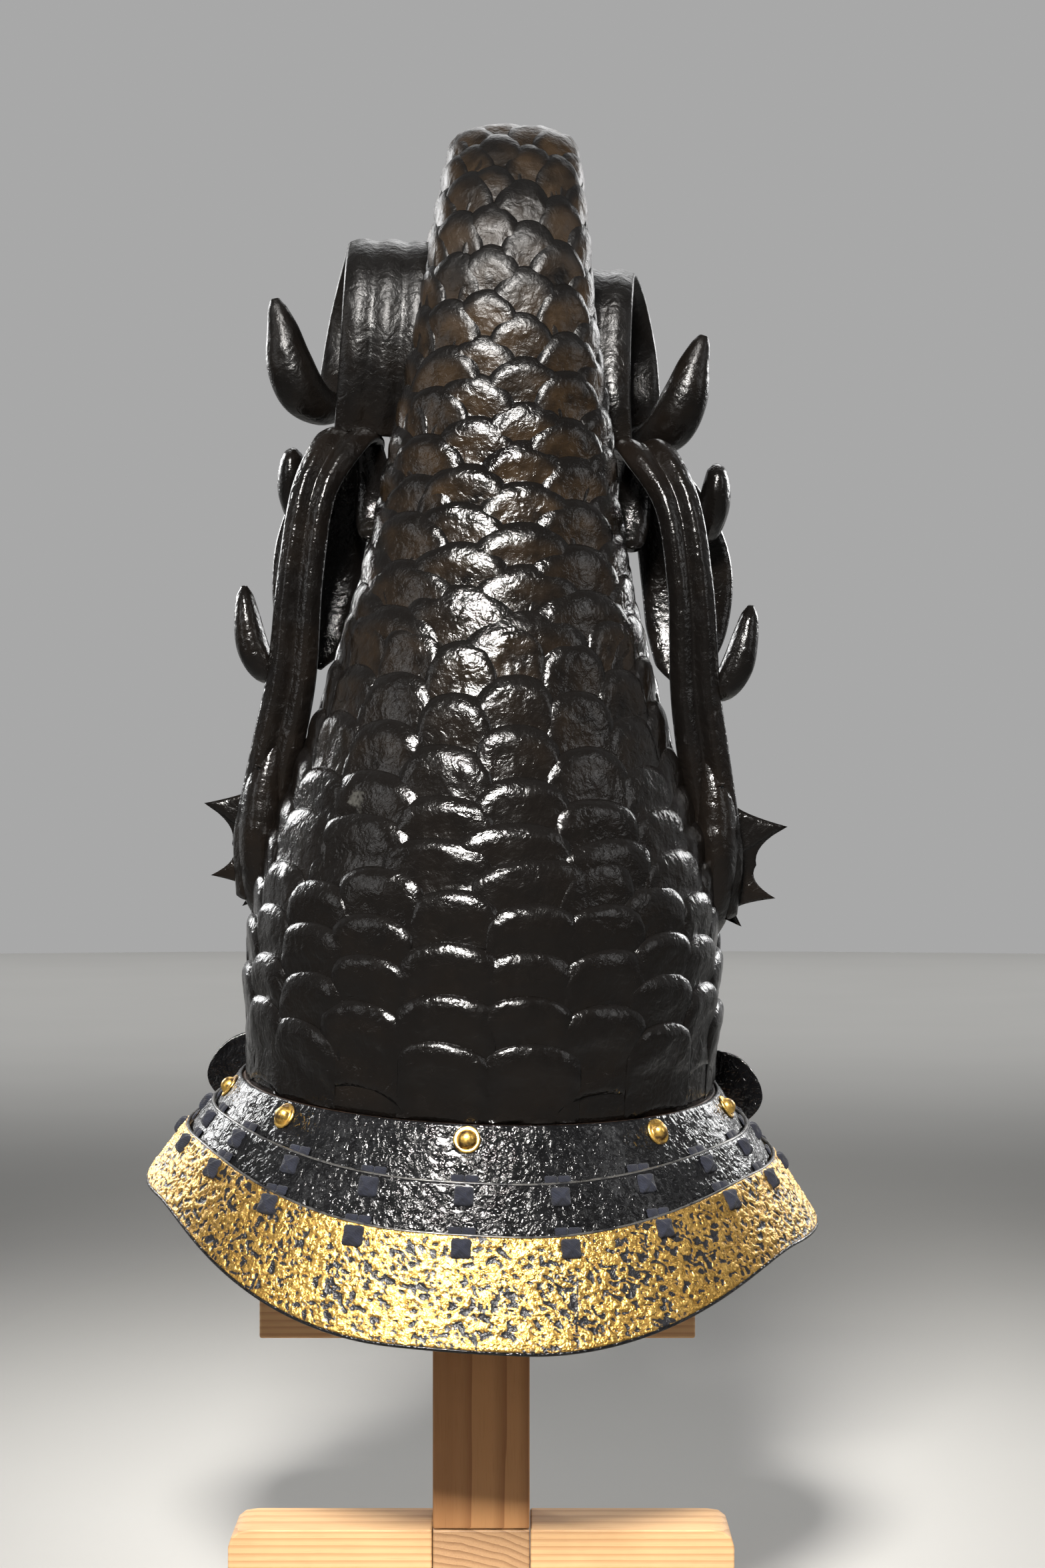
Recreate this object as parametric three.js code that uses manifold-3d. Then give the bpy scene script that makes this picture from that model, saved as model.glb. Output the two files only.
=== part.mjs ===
// A kabuto shaped like a sea dragon, on its wooden stand. A scaled body rises from the helmet bowl and
// arches over, with a scrolled frond and a spiked fin at each side, over a neck guard of three laced lames.
// Millimetres, +Z up, the helmet's front toward +Y, the origin on the floor under the post.
// The helmet is built level and straight about the centre of its rim, then set on the stand as a whole.
import * as THREE from "three";
import { mergeVertices } from "three/addons/utils/BufferGeometryUtils.js";
import Module from "manifold-3d";

const wasm = await Module();
wasm.setup();

// Stand
const POST_SIDE = 44;
const BASE_HEIGHT = 60;
const BASE_THICKNESS = 44;
const BASE_WIDTH = 230;
const BASE_REACH = 190;
const BASE_CORNER = 8;
const BAR_WIDTH = 204;
const BAR_HEIGHT = 46;
const BAR_THICKNESS = 20;
const BAR_LEVEL = 139;
const PAD_RADIUS = 52;
const PAD_THICKNESS = 26;

// How the helmet sits on the stand
const RIM_LEVEL = 261;
const HELMET_FORWARD = 25;
const HELMET_SIDEWAYS = -1.2;
const PITCH = THREE.MathUtils.degToRad(4.1);
const ROLL = THREE.MathUtils.degToRad(2.3);
const YAW = THREE.MathUtils.degToRad(-1.5);

// Scaled body
const RIM_WIDTH = 219;
const RIM_DEPTH = 242;
const BODY_HEIGHT = 449;
const TAIL_REACH = 88;
const TAIL_SWAY = 12;
const BODY_WALL = 3.2;
const SCALE_RELIEF = 3;
const SCALE_LIP = 1.2;

// Bowl inside the body
const BOWL_HEIGHT = 148;
const BOWL_WALL = 2;
const BOWL_FLANGE = 13;
const BOWL_LEAN = 0.08;

// Neck guard
const LAME_THICKNESS = 1.6;
const LAME_STEP = 3.6;
const LAME_OVERLAP = 8;
const SIDE_FLARE = 0.7;
const REAR_FLARE = 0.4;
const SIDE_SHARE = 0.62;
const GUARD_SLANT = 0.055;
const TOP_LAME_DEPTH = 23;
const MIDDLE_LAME_DEPTH = 20;
const GOLD_LAME_DEPTH = 45;
const TURNBACK_REACH = 41;
const TURNBACK_HEIGHT = 39;
const VISOR_REACH = 42;
const VISOR_DROP = 20;

// Rivets and laces
const RIVET_COLLAR = 12;
const RIVET_DOME = 8.4;
const RIVET_SHANK = 4;
const RIVET_DROP = 6.5;
const KNOT_SIZE = 9;
const KNOT_HEIGHT = 2.3;
const LACE_WIDTH = 8;
const LACE_THICKNESS = 0.7;
const LACE_PATCH = 3.6;

// Fronds, scrolls and fins
const FROND_OUT = 0.47 * RIM_WIDTH;
const FROND_HEIGHT = 0.675 * BODY_HEIGHT;
const FROND_FORWARD = 44;
const FROND_WIDTH = 24;
const FROND_THICKNESS = 13;
const FROND_SKEW = 4;
const SCROLL_RADIUS = 38;
const SCROLL_BAND = 42;
const SCROLL_THICKNESS = 6;
const SCROLL_OUT = 0.544 * FROND_OUT;
const HORN_WIDTH = 23;
const FIN_REACH = 28;
const FIN_HEIGHT = 58;
const FIN_THICKNESS = 2.6;
const FIN_ROOT = 7;
const FIN_SEAT_LEFT = 4;
const FIN_SEAT_RIGHT = 9;
const FIN_LEVEL = 76;

// Clearance between pieces that touch
const GAP = 0.3;

const FACET = THREE.MathUtils.degToRad(9);
const LACE_COLUMNS = 13;
const X_AXIS = new THREE.Vector3(1, 0, 0);
const Y_AXIS = new THREE.Vector3(0, 1, 0);
const Z_AXIS = new THREE.Vector3(0, 0, 1);

const finish = (color, roughness, metalness) =>
  new THREE.MeshStandardMaterial({ color, roughness, metalness });
const BLACK_LACQUER = finish(0x0b0a09, 0.22, 0.1);
const WRINKLED_LACQUER = finish(0x101114, 0.35, 0.1);
const GOLD_LEAF = finish(0xb98a2c, 0.42, 0.9);
const GILT_BRASS = finish(0xc79a3e, 0.3, 1);
const INDIGO_LACE = finish(0x252b3d, 0.95, 0);
const RUSSET_IRON = finish(0x1b1512, 0.6, 0.6);
const PINE = finish(0xb0733c, 0.65, 0);

// Solids and meshes

function solidOf(geometry) {
  const bare = geometry.clone();
  bare.deleteAttribute("normal");
  bare.deleteAttribute("uv");
  const merged = mergeVertices(bare, 1e-4);
  return new wasm.Manifold(
    new wasm.Mesh({
      numProp: 3,
      vertProperties: merged.attributes.position.array,
      triVerts: new Uint32Array(merged.index.array),
    }),
  );
}

function geometryOf(solid) {
  const mesh = solid.getMesh();
  const geometry = new THREE.BufferGeometry();
  geometry.setAttribute("position", new THREE.BufferAttribute(new Float32Array(mesh.vertProperties), 3));
  geometry.setIndex(new THREE.BufferAttribute(new Uint32Array(mesh.triVerts), 1));
  geometry.computeVertexNormals();
  return geometry;
}

function enclosedVolume(points, triangles) {
  let volume = 0;
  const cross = new THREE.Vector3();
  for (const [a, b, c] of triangles) {
    volume += points[a].dot(cross.crossVectors(points[b], points[c])) / 6;
  }
  return volume;
}

// A closed skin over a chain of rings of points. Rings may differ in their number of points.
function skin(rings) {
  const points = rings.flat();
  const triangles = [];
  let start = 0;
  for (let r = 0; r + 1 < rings.length; r++) {
    const here = rings[r].length;
    const next = rings[r + 1].length;
    let i = 0;
    let j = 0;
    while (i < here || j < next) {
      const a = start + (i % here);
      const b = start + here + (j % next);
      if (j >= next || (i < here && (i + 1) / here <= (j + 1) / next)) {
        triangles.push([a, b, start + ((i + 1) % here)]);
        i++;
      } else {
        triangles.push([a, b, start + here + ((j + 1) % next)]);
        j++;
      }
    }
    start += here;
  }
  closeEnd(rings[0], 0, points, triangles, false);
  closeEnd(rings.at(-1), start, points, triangles, true);
  const outward = enclosedVolume(points, triangles) > 0;
  const order = outward ? triangles : triangles.map(([a, b, c]) => [a, c, b]);
  const geometry = new THREE.BufferGeometry().setFromPoints(points);
  geometry.setIndex(order.flat());
  geometry.computeVertexNormals();
  return geometry;
}

function closeEnd(ring, start, points, triangles, last) {
  const middle = ring.reduce((sum, p) => sum.add(p), new THREE.Vector3()).divideScalar(ring.length);
  points.push(middle);
  const centre = points.length - 1;
  ring.forEach((_, i) => {
    const a = start + i;
    const b = start + ((i + 1) % ring.length);
    triangles.push(last ? [a, centre, b] : [b, centre, a]);
  });
}

// Rows of a table made smooth: the curve through their columns, read at even steps.
function smooth(rows, steps) {
  const places = new THREE.CatmullRomCurve3(rows.map((row) => row.place));
  const sizes = new THREE.CatmullRomCurve3(
    rows.map((row) => new THREE.Vector3(row.width, row.thickness, 0)),
    false,
    "catmullrom",
    0.5,
  );
  return Array.from({ length: steps + 1 }, (_, i) => {
    const size = sizes.getPoint(i / steps);
    return { place: places.getPoint(i / steps), width: size.x, thickness: size.y };
  });
}

// Three ribs on the outer face of a frond or scroll, plain inside: shares of half the width and thickness.
const FLUTED = [
  [-1, 0],
  [-0.67, 1],
  [-0.33, 0.5],
  [0, 1],
  [0.33, 0.5],
  [0.67, 1],
  [1, 0],
  [0.5, -1],
  [-0.5, -1],
];

const OVAL = Array.from({ length: 8 }, (_, i) => [
  Math.cos((i * Math.PI) / 4),
  Math.sin((i * Math.PI) / 4),
]);

// A bar swept through stations, its width along "across" and its outer face to the outside of the curl.
function sweep(stations, section, across = X_AXIS) {
  const rings = stations.map(({ place, width, thickness }, i) => {
    const before = stations[Math.max(i - 1, 0)].place;
    const after = stations[Math.min(i + 1, stations.length - 1)].place;
    const along = after.clone().sub(before).normalize();
    const side = across.clone().addScaledVector(along, -across.dot(along)).normalize();
    const out = new THREE.Vector3().crossVectors(side, along);
    return section.map(([u, v]) =>
      place.clone().addScaledVector(side, (u * width) / 2).addScaledVector(out, (v * thickness) / 2),
    );
  });
  return skin(rings);
}

const group = new THREE.Group();
const helmet = new THREE.Group();
group.add(helmet);

function addPiece(parent, name, geometry, material) {
  const mesh = new THREE.Mesh(geometry, material);
  mesh.name = name;
  parent.add(mesh);
  return mesh;
}

// Body. Each row is one section: its centre as shares of TAIL_REACH and BODY_HEIGHT, its half width and half
// depth as shares of the rim's, its sideways share of TAIL_SWAY, and how square it is, where 2 is an ellipse.
const BODY_SECTIONS = [
  { forward: 0, height: 0, width: 1, depth: 1, sway: 0, square: 2 },
  { forward: -0.01, height: 0.062, width: 0.999, depth: 1.004, sway: 0, square: 2 },
  { forward: -0.03, height: 0.134, width: 0.986, depth: 0.992, sway: 0, square: 2 },
  { forward: -0.07, height: 0.2, width: 0.957, depth: 0.939, sway: 0, square: 2 },
  { forward: -0.11, height: 0.256, width: 0.896, depth: 0.865, sway: 0, square: 2 },
  { forward: -0.17, height: 0.312, width: 0.81, depth: 0.77, sway: 0, square: 2 },
  { forward: -0.22, height: 0.367, width: 0.729, depth: 0.66, sway: 0, square: 2 },
  { forward: -0.25, height: 0.434, width: 0.643, depth: 0.541, sway: 0, square: 2.05 },
  { forward: -0.256, height: 0.501, width: 0.564, depth: 0.439, sway: 0, square: 2.1 },
  { forward: -0.244, height: 0.568, width: 0.507, depth: 0.357, sway: 0, square: 2.15 },
  { forward: -0.222, height: 0.646, width: 0.452, depth: 0.287, sway: 0, square: 2.2 },
  { forward: -0.193, height: 0.724, width: 0.398, depth: 0.242, sway: 0, square: 2.25 },
  { forward: -0.159, height: 0.791, width: 0.348, depth: 0.213, sway: 0, square: 2.3 },
  { forward: -0.08, height: 0.857, width: 0.317, depth: 0.189, sway: 0, square: 2.4 },
  { forward: 0.045, height: 0.905, width: 0.29, depth: 0.164, sway: 0, square: 2.5 },
  { forward: 0.216, height: 0.94, width: 0.267, depth: 0.143, sway: 0.05, square: 2.6 },
  { forward: 0.42, height: 0.952, width: 0.26, depth: 0.131, sway: 0.2, square: 2.7 },
  { forward: 0.636, height: 0.937, width: 0.262, depth: 0.123, sway: 0.45, square: 2.7 },
  { forward: 0.807, height: 0.903, width: 0.271, depth: 0.115, sway: 0.7, square: 2.6 },
  { forward: 0.909, height: 0.855, width: 0.29, depth: 0.102, sway: 0.9, square: 2.5 },
  { forward: 0.955, height: 0.788, width: 0.326, depth: 0.086, sway: 1, square: 2.4 },
  { forward: 0.977, height: 0.722, width: 0.38, depth: 0.066, sway: 1, square: 2.3 },
  { forward: 0.989, height: 0.664, width: 0.425, depth: 0.041, sway: 1, square: 2.2 },
  { forward: 1, height: 0.633, width: 0.362, depth: 0.025, sway: 1, square: 2.2 },
];

// Scales by zone: where the zone ends as a share of the body's length, how many columns go round it,
// how many points outline a scale's free edge, how far apart the rows are as a share of the body's height,
// and how far the edges stand out as a share of SCALE_RELIEF.
const SCALE_ZONES = [
  { end: 0.15, columns: 20, points: 3, pitch: 0.049, relief: 1 },
  { end: 0.33, columns: 16, points: 3, pitch: 0.0465, relief: 0.85 },
  { end: 0.97, columns: 10, points: 2, pitch: 0.0445, relief: 0.6 },
];

const bodyLine = new THREE.CatmullRomCurve3(
  BODY_SECTIONS.map(
    (row) =>
      new THREE.Vector3(-row.sway * TAIL_SWAY, row.forward * TAIL_REACH, row.height * BODY_HEIGHT),
  ),
);
bodyLine.arcLengthDivisions = 600;
const bodySizes = new THREE.CatmullRomCurve3(
  BODY_SECTIONS.map(
    (row) => new THREE.Vector3((row.width * RIM_WIDTH) / 2, (row.depth * RIM_DEPTH) / 2, row.square),
  ),
  false,
  "catmullrom",
  0.5,
);
const bodyLength = bodyLine.getLength();

// A point on the body: how far along its line, the angle round it from the rear, and how far it stands out.
function bodyPoint(along, angle, out) {
  const share = THREE.MathUtils.clamp(along / bodyLength, 0, 1);
  const size = bodySizes.getPoint(bodyLine.getUtoTmapping(share, 0));
  const tilt = THREE.MathUtils.smoothstep(share, 0.12, 0.4);
  const normal = new THREE.Vector3().lerpVectors(Z_AXIS, bodyLine.getTangentAt(share), tilt).normalize();
  const side = X_AXIS.clone().addScaledVector(normal, -normal.x).normalize();
  const rear = new THREE.Vector3().crossVectors(side, normal);
  const shaped = (v) => Math.sign(v) * Math.pow(Math.abs(v), 2 / size.z);
  return bodyLine
    .getPointAt(share)
    .addScaledVector(side, (size.x + out) * shaped(Math.sin(angle)))
    .addScaledVector(rear, (size.y + out) * shaped(Math.cos(angle)));
}

// One ring of free edges. Every second column stands half a row higher, and each edge is a raised arch.
function scaleRing(zone, along, pitch, lift, reliefShare, grow) {
  const ring = [];
  for (let column = 0; column < zone.columns; column++) {
    for (let point = 0; point < zone.points; point++) {
      const foot = point === 0;
      const across = foot ? 0 : (2 * point - 1) / (2 * zone.points - 2);
      const angle = (2 * Math.PI * (column - 0.5 + across)) / zone.columns;
      const rise = foot ? 0.04 : 0.27 + (column % 2) * 0.5;
      const relief = SCALE_RELIEF * zone.relief * reliefShare * (foot ? 0.3 : 1);
      ring.push(bodyPoint(along + lift + rise * pitch, angle, relief + grow));
    }
  }
  return ring;
}

function plainRing(along, count, out) {
  return Array.from({ length: count }, (_, i) =>
    bodyPoint(along, (2 * Math.PI * (i - 0.5)) / count, out),
  );
}

function bodySkinRings(grow) {
  const rings = [plainRing(0, SCALE_ZONES[0].columns * 2, grow)];
  let along = 0.3 * SCALE_ZONES[0].pitch * BODY_HEIGHT;
  for (const zone of SCALE_ZONES) {
    const pitch = zone.pitch * BODY_HEIGHT;
    for (; along < zone.end * bodyLength - pitch; along += pitch) {
      const fade = THREE.MathUtils.clamp((bodyLength - along) / (4 * pitch), 0.2, 1);
      rings.push(scaleRing(zone, along, pitch, 0, fade, grow));
      rings.push(scaleRing(zone, along, pitch, SCALE_LIP, 0, grow));
    }
  }
  rings.push(plainRing(bodyLength, SCALE_ZONES.at(-1).columns, grow));
  return rings;
}

// Bowl. Shares of its height and of its half width and depth.
const DOME_SECTIONS = [
  { height: 0, size: 1 },
  { height: 0.38, size: 0.965 },
  { height: 0.65, size: 0.86 },
  { height: 0.85, size: 0.67 },
  { height: 0.97, size: 0.36 },
];
const DOME_POINTS = 24;

// Rings up a dome that stands in from the rim's outline by "inset", with its top that much lower.
function domeRings(inset, top) {
  return DOME_SECTIONS.map(({ height, size }) => {
    const level = height * top;
    return Array.from({ length: DOME_POINTS }, (_, i) => {
      const angle = (2 * Math.PI * (i - 0.5)) / DOME_POINTS;
      return new THREE.Vector3(
        (RIM_WIDTH / 2 - inset) * size * Math.sin(angle),
        -(RIM_DEPTH / 2 - inset) * size * Math.cos(angle) - BOWL_LEAN * level,
        level,
      );
    });
  });
}

const bowlInset = BODY_WALL + GAP + 0.2;
const cavity = domeRings(BODY_WALL, BOWL_HEIGHT + GAP + 0.5).reverse();
addPiece(helmet, "body", skin([...cavity, ...bodySkinRings(0)]), BLACK_LACQUER);
const bodyWithClearance = solidOf(skin(bodySkinRings(GAP)));

// Neck guard: a cone that flares out below the rim, on which each lower lame lies a step further out.
function guardPoint(angle, level, layer) {
  const halfWidth = RIM_WIDTH / 2 + LAME_STEP * layer - SIDE_FLARE * level + LAME_THICKNESS;
  const halfDepth = RIM_DEPTH / 2 + LAME_STEP * layer - REAR_FLARE * level + LAME_THICKNESS;
  return new THREE.Vector3(halfWidth * Math.sin(angle), -halfDepth * Math.cos(angle), level);
}

// Lames are as deep as named at the rear, narrow to SIDE_SHARE at the sides and hang lower at the right.
function depthShare(angle) {
  const toSide = THREE.MathUtils.smoothstep(Math.abs(angle), FACET, 7.5 * FACET);
  return 1 - (1 - SIDE_SHARE) * toSide + GUARD_SLANT * Math.sin(angle);
}

// The frame on a lame's middle surface at the centre of a facet: down it, out of it and along it.
function guardFrame(angle, level, layer) {
  const left = guardPoint(angle - FACET / 2, level, layer);
  const right = guardPoint(angle + FACET / 2, level, layer);
  const lower = guardPoint(angle - FACET / 2, level - 1, layer).lerp(
    guardPoint(angle + FACET / 2, level - 1, layer),
    0.5,
  );
  const origin = left.clone().lerp(right, 0.5);
  const along = right.sub(left).normalize();
  const down = lower.sub(origin);
  down.addScaledVector(along, -down.dot(along)).normalize();
  const out = new THREE.Vector3().crossVectors(down, along);
  return { origin, matrix: new THREE.Matrix4().makeBasis(down, out, along.negate()).setPosition(origin) };
}

// A strip of plate through stations that each give its top, its bottom and the way it faces.
function plate(stations, thickness) {
  return skin(
    stations.map(({ top, bottom, facing }) => [
      top.clone().addScaledVector(facing, thickness / 2),
      bottom.clone().addScaledVector(facing, thickness / 2),
      bottom.clone().addScaledVector(facing, -thickness / 2),
      top.clone().addScaledVector(facing, -thickness / 2),
    ]),
  );
}

function lameStations(layer, topDepth, bottomDepth, overlap, facets) {
  const stations = [];
  for (let i = 0; i <= facets; i++) {
    const angle = (i - facets / 2) * FACET;
    const share = depthShare(angle);
    const top = guardPoint(angle, -topDepth * share, layer);
    const bottom = guardPoint(angle, -bottomDepth * share - overlap, layer);
    const along = guardPoint(angle + FACET / 2, 0, layer).sub(guardPoint(angle - FACET / 2, 0, layer));
    const facing = new THREE.Vector3().crossVectors(bottom.clone().sub(top), along).normalize();
    stations.push({ top, bottom, facing });
  }
  return stations;
}

// The turned-back plate at the front end of the top lame: shares of its reach and height, and how much of
// the lame's own slope is left in it.
const TURNBACK_SECTIONS = [
  { out: 0.1, forward: 0.1, top: 0.04, bottom: 0.66, slope: 1 },
  { out: 0.25, forward: 0.2, top: 0.1, bottom: 0.8, slope: 0.7 },
  { out: 0.45, forward: 0.24, top: 0.16, bottom: 0.84, slope: 0.4 },
  { out: 0.7, forward: 0.18, top: 0.1, bottom: 0.78, slope: 0.2 },
  { out: 0.88, forward: 0.08, top: -0.06, bottom: 0.66, slope: 0 },
  { out: 0.97, forward: 0.02, top: -0.22, bottom: 0.52, slope: 0 },
  { out: 1, forward: -0.02, top: -0.34, bottom: 0.4, slope: 0 },
];

function turnbackStations(end, side) {
  const slope = end.bottom.clone().sub(end.top).divideScalar(end.top.z - end.bottom.z).setZ(0);
  return TURNBACK_SECTIONS.map((section) => {
    const at = (height) =>
      new THREE.Vector3(side * section.out, section.forward, 0)
        .multiplyScalar(TURNBACK_REACH)
        .add(end.top)
        .addScaledVector(slope, -section.slope * height)
        .setZ(height);
    return {
      top: at(section.top * TURNBACK_HEIGHT),
      bottom: at(-section.bottom * TURNBACK_HEIGHT),
      facing: new THREE.Vector3(side * 0.3, -0.95, 0),
    };
  });
}

// The lame's end, where its facing turns halfway to that of the turned-back plate.
function cornerStation(end, side) {
  const facing = end.facing.clone().add(new THREE.Vector3(side * 0.57, -0.82, 0)).normalize();
  return { ...end, facing: facing.multiplyScalar(1.3) };
}

// Rivets at the rear, the quarters and the sides.
const RIVET_ANGLES = [-9, -5, 0, 5, 9].map((facets) => facets * FACET);

function rivetFrame(angle) {
  return guardFrame(angle, -RIVET_DROP, 0).matrix;
}

function rivetHoles(geometry) {
  const length = 8 * LAME_THICKNESS;
  return RIVET_ANGLES.reduce((solid, angle) => {
    const hole = new THREE.CylinderGeometry(RIVET_SHANK / 2 + GAP, RIVET_SHANK / 2 + GAP, length, 8);
    return solid.subtract(solidOf(hole.applyMatrix4(rivetFrame(angle))));
  }, solidOf(geometry));
}

const LACE_SLOT_START = 4.5;
const LACE_SLOT_LENGTH = 3;

function laceFrame(column, layer) {
  const angle = (column - (LACE_COLUMNS - 1) / 2) * 2 * FACET;
  const depth = layer === 1 ? TOP_LAME_DEPTH : TOP_LAME_DEPTH + MIDDLE_LAME_DEPTH;
  return guardFrame(angle, -depth * depthShare(angle), layer).matrix;
}

function laceSlots(geometry, layer) {
  let solid = solidOf(geometry);
  for (let column = 0; column < LACE_COLUMNS; column++) {
    const slot = new THREE.BoxGeometry(
      LACE_SLOT_LENGTH + 2 * GAP,
      4 * LAME_THICKNESS,
      LACE_WIDTH + 2 * GAP,
    );
    slot.translate(LACE_SLOT_START + LACE_SLOT_LENGTH / 2, 0, 0);
    solid = solid.subtract(solidOf(slot.applyMatrix4(laceFrame(column, layer))));
  }
  return geometryOf(solid);
}

const TOP_FACETS = 27;
const LOWER_FACETS = 25;
const topStations = lameStations(0, 0, TOP_LAME_DEPTH, LAME_OVERLAP, TOP_FACETS);
const topLame = plate(
  [
    ...turnbackStations(topStations[0], -1).reverse(),
    cornerStation(topStations[0], -1),
    ...topStations.slice(1, -1),
    cornerStation(topStations.at(-1), 1),
    ...turnbackStations(topStations.at(-1), 1),
  ],
  LAME_THICKNESS,
);
addPiece(helmet, "lame_top", geometryOf(rivetHoles(topLame)), WRINKLED_LACQUER);

const middleDepth = TOP_LAME_DEPTH + MIDDLE_LAME_DEPTH;
const middleLame = plate(
  lameStations(1, TOP_LAME_DEPTH, middleDepth, LAME_OVERLAP, LOWER_FACETS),
  LAME_THICKNESS,
);
addPiece(helmet, "lame_middle", laceSlots(middleLame, 1), WRINKLED_LACQUER);

const goldLame = plate(
  lameStations(2, middleDepth, middleDepth + GOLD_LAME_DEPTH, 0, LOWER_FACETS),
  LAME_THICKNESS,
);
addPiece(helmet, "lame_gold", laceSlots(goldLame, 2), GOLD_LEAF);

// Bowl with its flange, which follows the inside of the top lame facet by facet.
function flangePoint(angle, level, out) {
  const point = guardPoint(angle, level, 0);
  return point.addScaledVector(new THREE.Vector3(point.x, point.y, 0).normalize(), out);
}

function flangeRing(level, out) {
  const count = Math.round((2 * Math.PI) / FACET);
  return Array.from({ length: count }, (_, i) => flangePoint((i - 0.5) * FACET, level, out));
}

const flangeOut = -0.6 * LAME_THICKNESS - 1.4 * GAP;
const bowl = skin([
  ...domeRings(bowlInset + BOWL_WALL, BOWL_HEIGHT - BOWL_WALL).reverse(),
  flangeRing(-BOWL_FLANGE, flangeOut - BOWL_WALL),
  flangeRing(-BOWL_FLANGE, flangeOut),
  flangeRing(-GAP, flangeOut),
  ...domeRings(bowlInset, BOWL_HEIGHT),
]);
addPiece(helmet, "bowl", geometryOf(rivetHoles(bowl)), RUSSET_IRON);

const rivetSeat = LAME_THICKNESS / 2 + GAP;
RIVET_ANGLES.forEach((angle, i) => {
  const profile = [
    [0, -rivetSeat - 4 * GAP - BOWL_WALL - 2],
    [RIVET_SHANK / 2, -rivetSeat - 4 * GAP - BOWL_WALL - 2],
    [RIVET_SHANK / 2, rivetSeat],
    [RIVET_COLLAR / 2, rivetSeat],
    [RIVET_COLLAR / 2, rivetSeat + 1.2],
    [RIVET_DOME * 0.4, rivetSeat + RIVET_DOME * 0.4],
    [0, rivetSeat + RIVET_DOME * 0.55],
  ].map(([radius, height]) => new THREE.Vector2(radius, height));
  const rivet = new THREE.LatheGeometry(profile, 8);
  addPiece(helmet, "rivet_" + (i + 1), rivet.applyMatrix4(rivetFrame(angle)), GILT_BRASS);
});

// One lace: a patch on the upper lame, a tongue through the lower lame's slot, and a knot outside.
function lace() {
  const face = LAME_THICKNESS / 2 + GAP;
  const knotStart = LACE_SLOT_START + LACE_SLOT_LENGTH / 2 - KNOT_SIZE / 2;
  const slotEnd = LACE_SLOT_START + LACE_SLOT_LENGTH;
  const shape = new THREE.Shape(
    [
      [-LACE_PATCH, -face - LACE_THICKNESS],
      [slotEnd, -face - LACE_THICKNESS],
      [slotEnd, face],
      [knotStart + KNOT_SIZE, face],
      [knotStart + KNOT_SIZE, face + KNOT_HEIGHT],
      [knotStart, face + KNOT_HEIGHT],
      [knotStart, face],
      [LACE_SLOT_START, face],
      [LACE_SLOT_START, -face],
      [-LACE_PATCH, -face],
    ].map(([down, out]) => new THREE.Vector2(down, out)),
  );
  const body = new THREE.ExtrudeGeometry(shape, { depth: LACE_WIDTH, bevelEnabled: false });
  return body.translate(0, 0, -LACE_WIDTH / 2);
}

for (let column = 0; column < LACE_COLUMNS; column++) {
  addPiece(helmet, "lace_upper_" + (column + 1), lace().applyMatrix4(laceFrame(column, 1)), INDIGO_LACE);
  addPiece(helmet, "lace_lower_" + (column + 1), lace().applyMatrix4(laceFrame(column, 2)), INDIGO_LACE);
}

// Visor over the brow, between the turned-back plates.
function visor() {
  const steps = 8;
  const spread = 5 * FACET;
  const stations = [];
  for (let i = 0; i <= steps; i++) {
    const share = (2 * i) / steps - 1;
    const angle = Math.PI + share * spread;
    const reach = VISOR_REACH * (1 - 0.75 * share * share);
    const top = flangePoint(angle, -GAP - LAME_THICKNESS / 2, flangeOut + 2 * GAP + 0.4 * LAME_THICKNESS);
    const facing = new THREE.Vector3(0, 0.4, 0.92);
    const bottom = top.clone().add(new THREE.Vector3(0, reach, -VISOR_DROP * (reach / VISOR_REACH)));
    stations.push({ top, bottom, facing });
  }
  return plate(stations, LAME_THICKNESS);
}

addPiece(helmet, "visor", visor(), WRINKLED_LACQUER);

// Fronds: each row is a place on the curl as shares of how far out, forward and high it goes,
// and its width and thickness as shares of the stem's.
const FROND_ROWS = [
  { out: 1.03, forward: -0.1, height: 0.27, width: 0.9, thickness: 1.3, skew: 0 },
  { out: 1.02, forward: -0.22, height: 0.36, width: 1.1, thickness: 1.4, skew: 0 },
  { out: 0.99, forward: -0.32, height: 0.44, width: 1, thickness: 1.1, skew: 0 },
  { out: 0.95, forward: -0.4, height: 0.51, width: 1, thickness: 1, skew: 0 },
  { out: 0.9, forward: -0.46, height: 0.61, width: 0.96, thickness: 0.95, skew: 0 },
  { out: 0.865, forward: -0.48, height: 0.77, width: 0.88, thickness: 0.9, skew: 0.2 },
  { out: 0.8, forward: -0.36, height: 0.9, width: 0.88, thickness: 0.85, skew: 0.6 },
  { out: 0.68, forward: -0.05, height: 0.972, width: 1.05, thickness: 0.7, skew: 1 },
  { out: 0.64, forward: 0.25, height: 0.975, width: 1.15, thickness: 0.62, skew: 1 },
  { out: 0.7, forward: 0.62, height: 0.935, width: 1.3, thickness: 0.58, skew: 0.7 },
  { out: 0.79, forward: 0.88, height: 0.87, width: 1.6, thickness: 0.55, skew: 0.3 },
  { out: 0.85, forward: 0.97, height: 0.79, width: 1.82, thickness: 0.55, skew: 0 },
  { out: 0.86, forward: 0.88, height: 0.7, width: 1.6, thickness: 0.55, skew: 0 },
  { out: 0.84, forward: 0.7, height: 0.64, width: 1, thickness: 0.5, skew: 0 },
  { out: 0.83, forward: 0.58, height: 0.62, width: 0.3, thickness: 0.3, skew: 0 },
];

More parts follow.
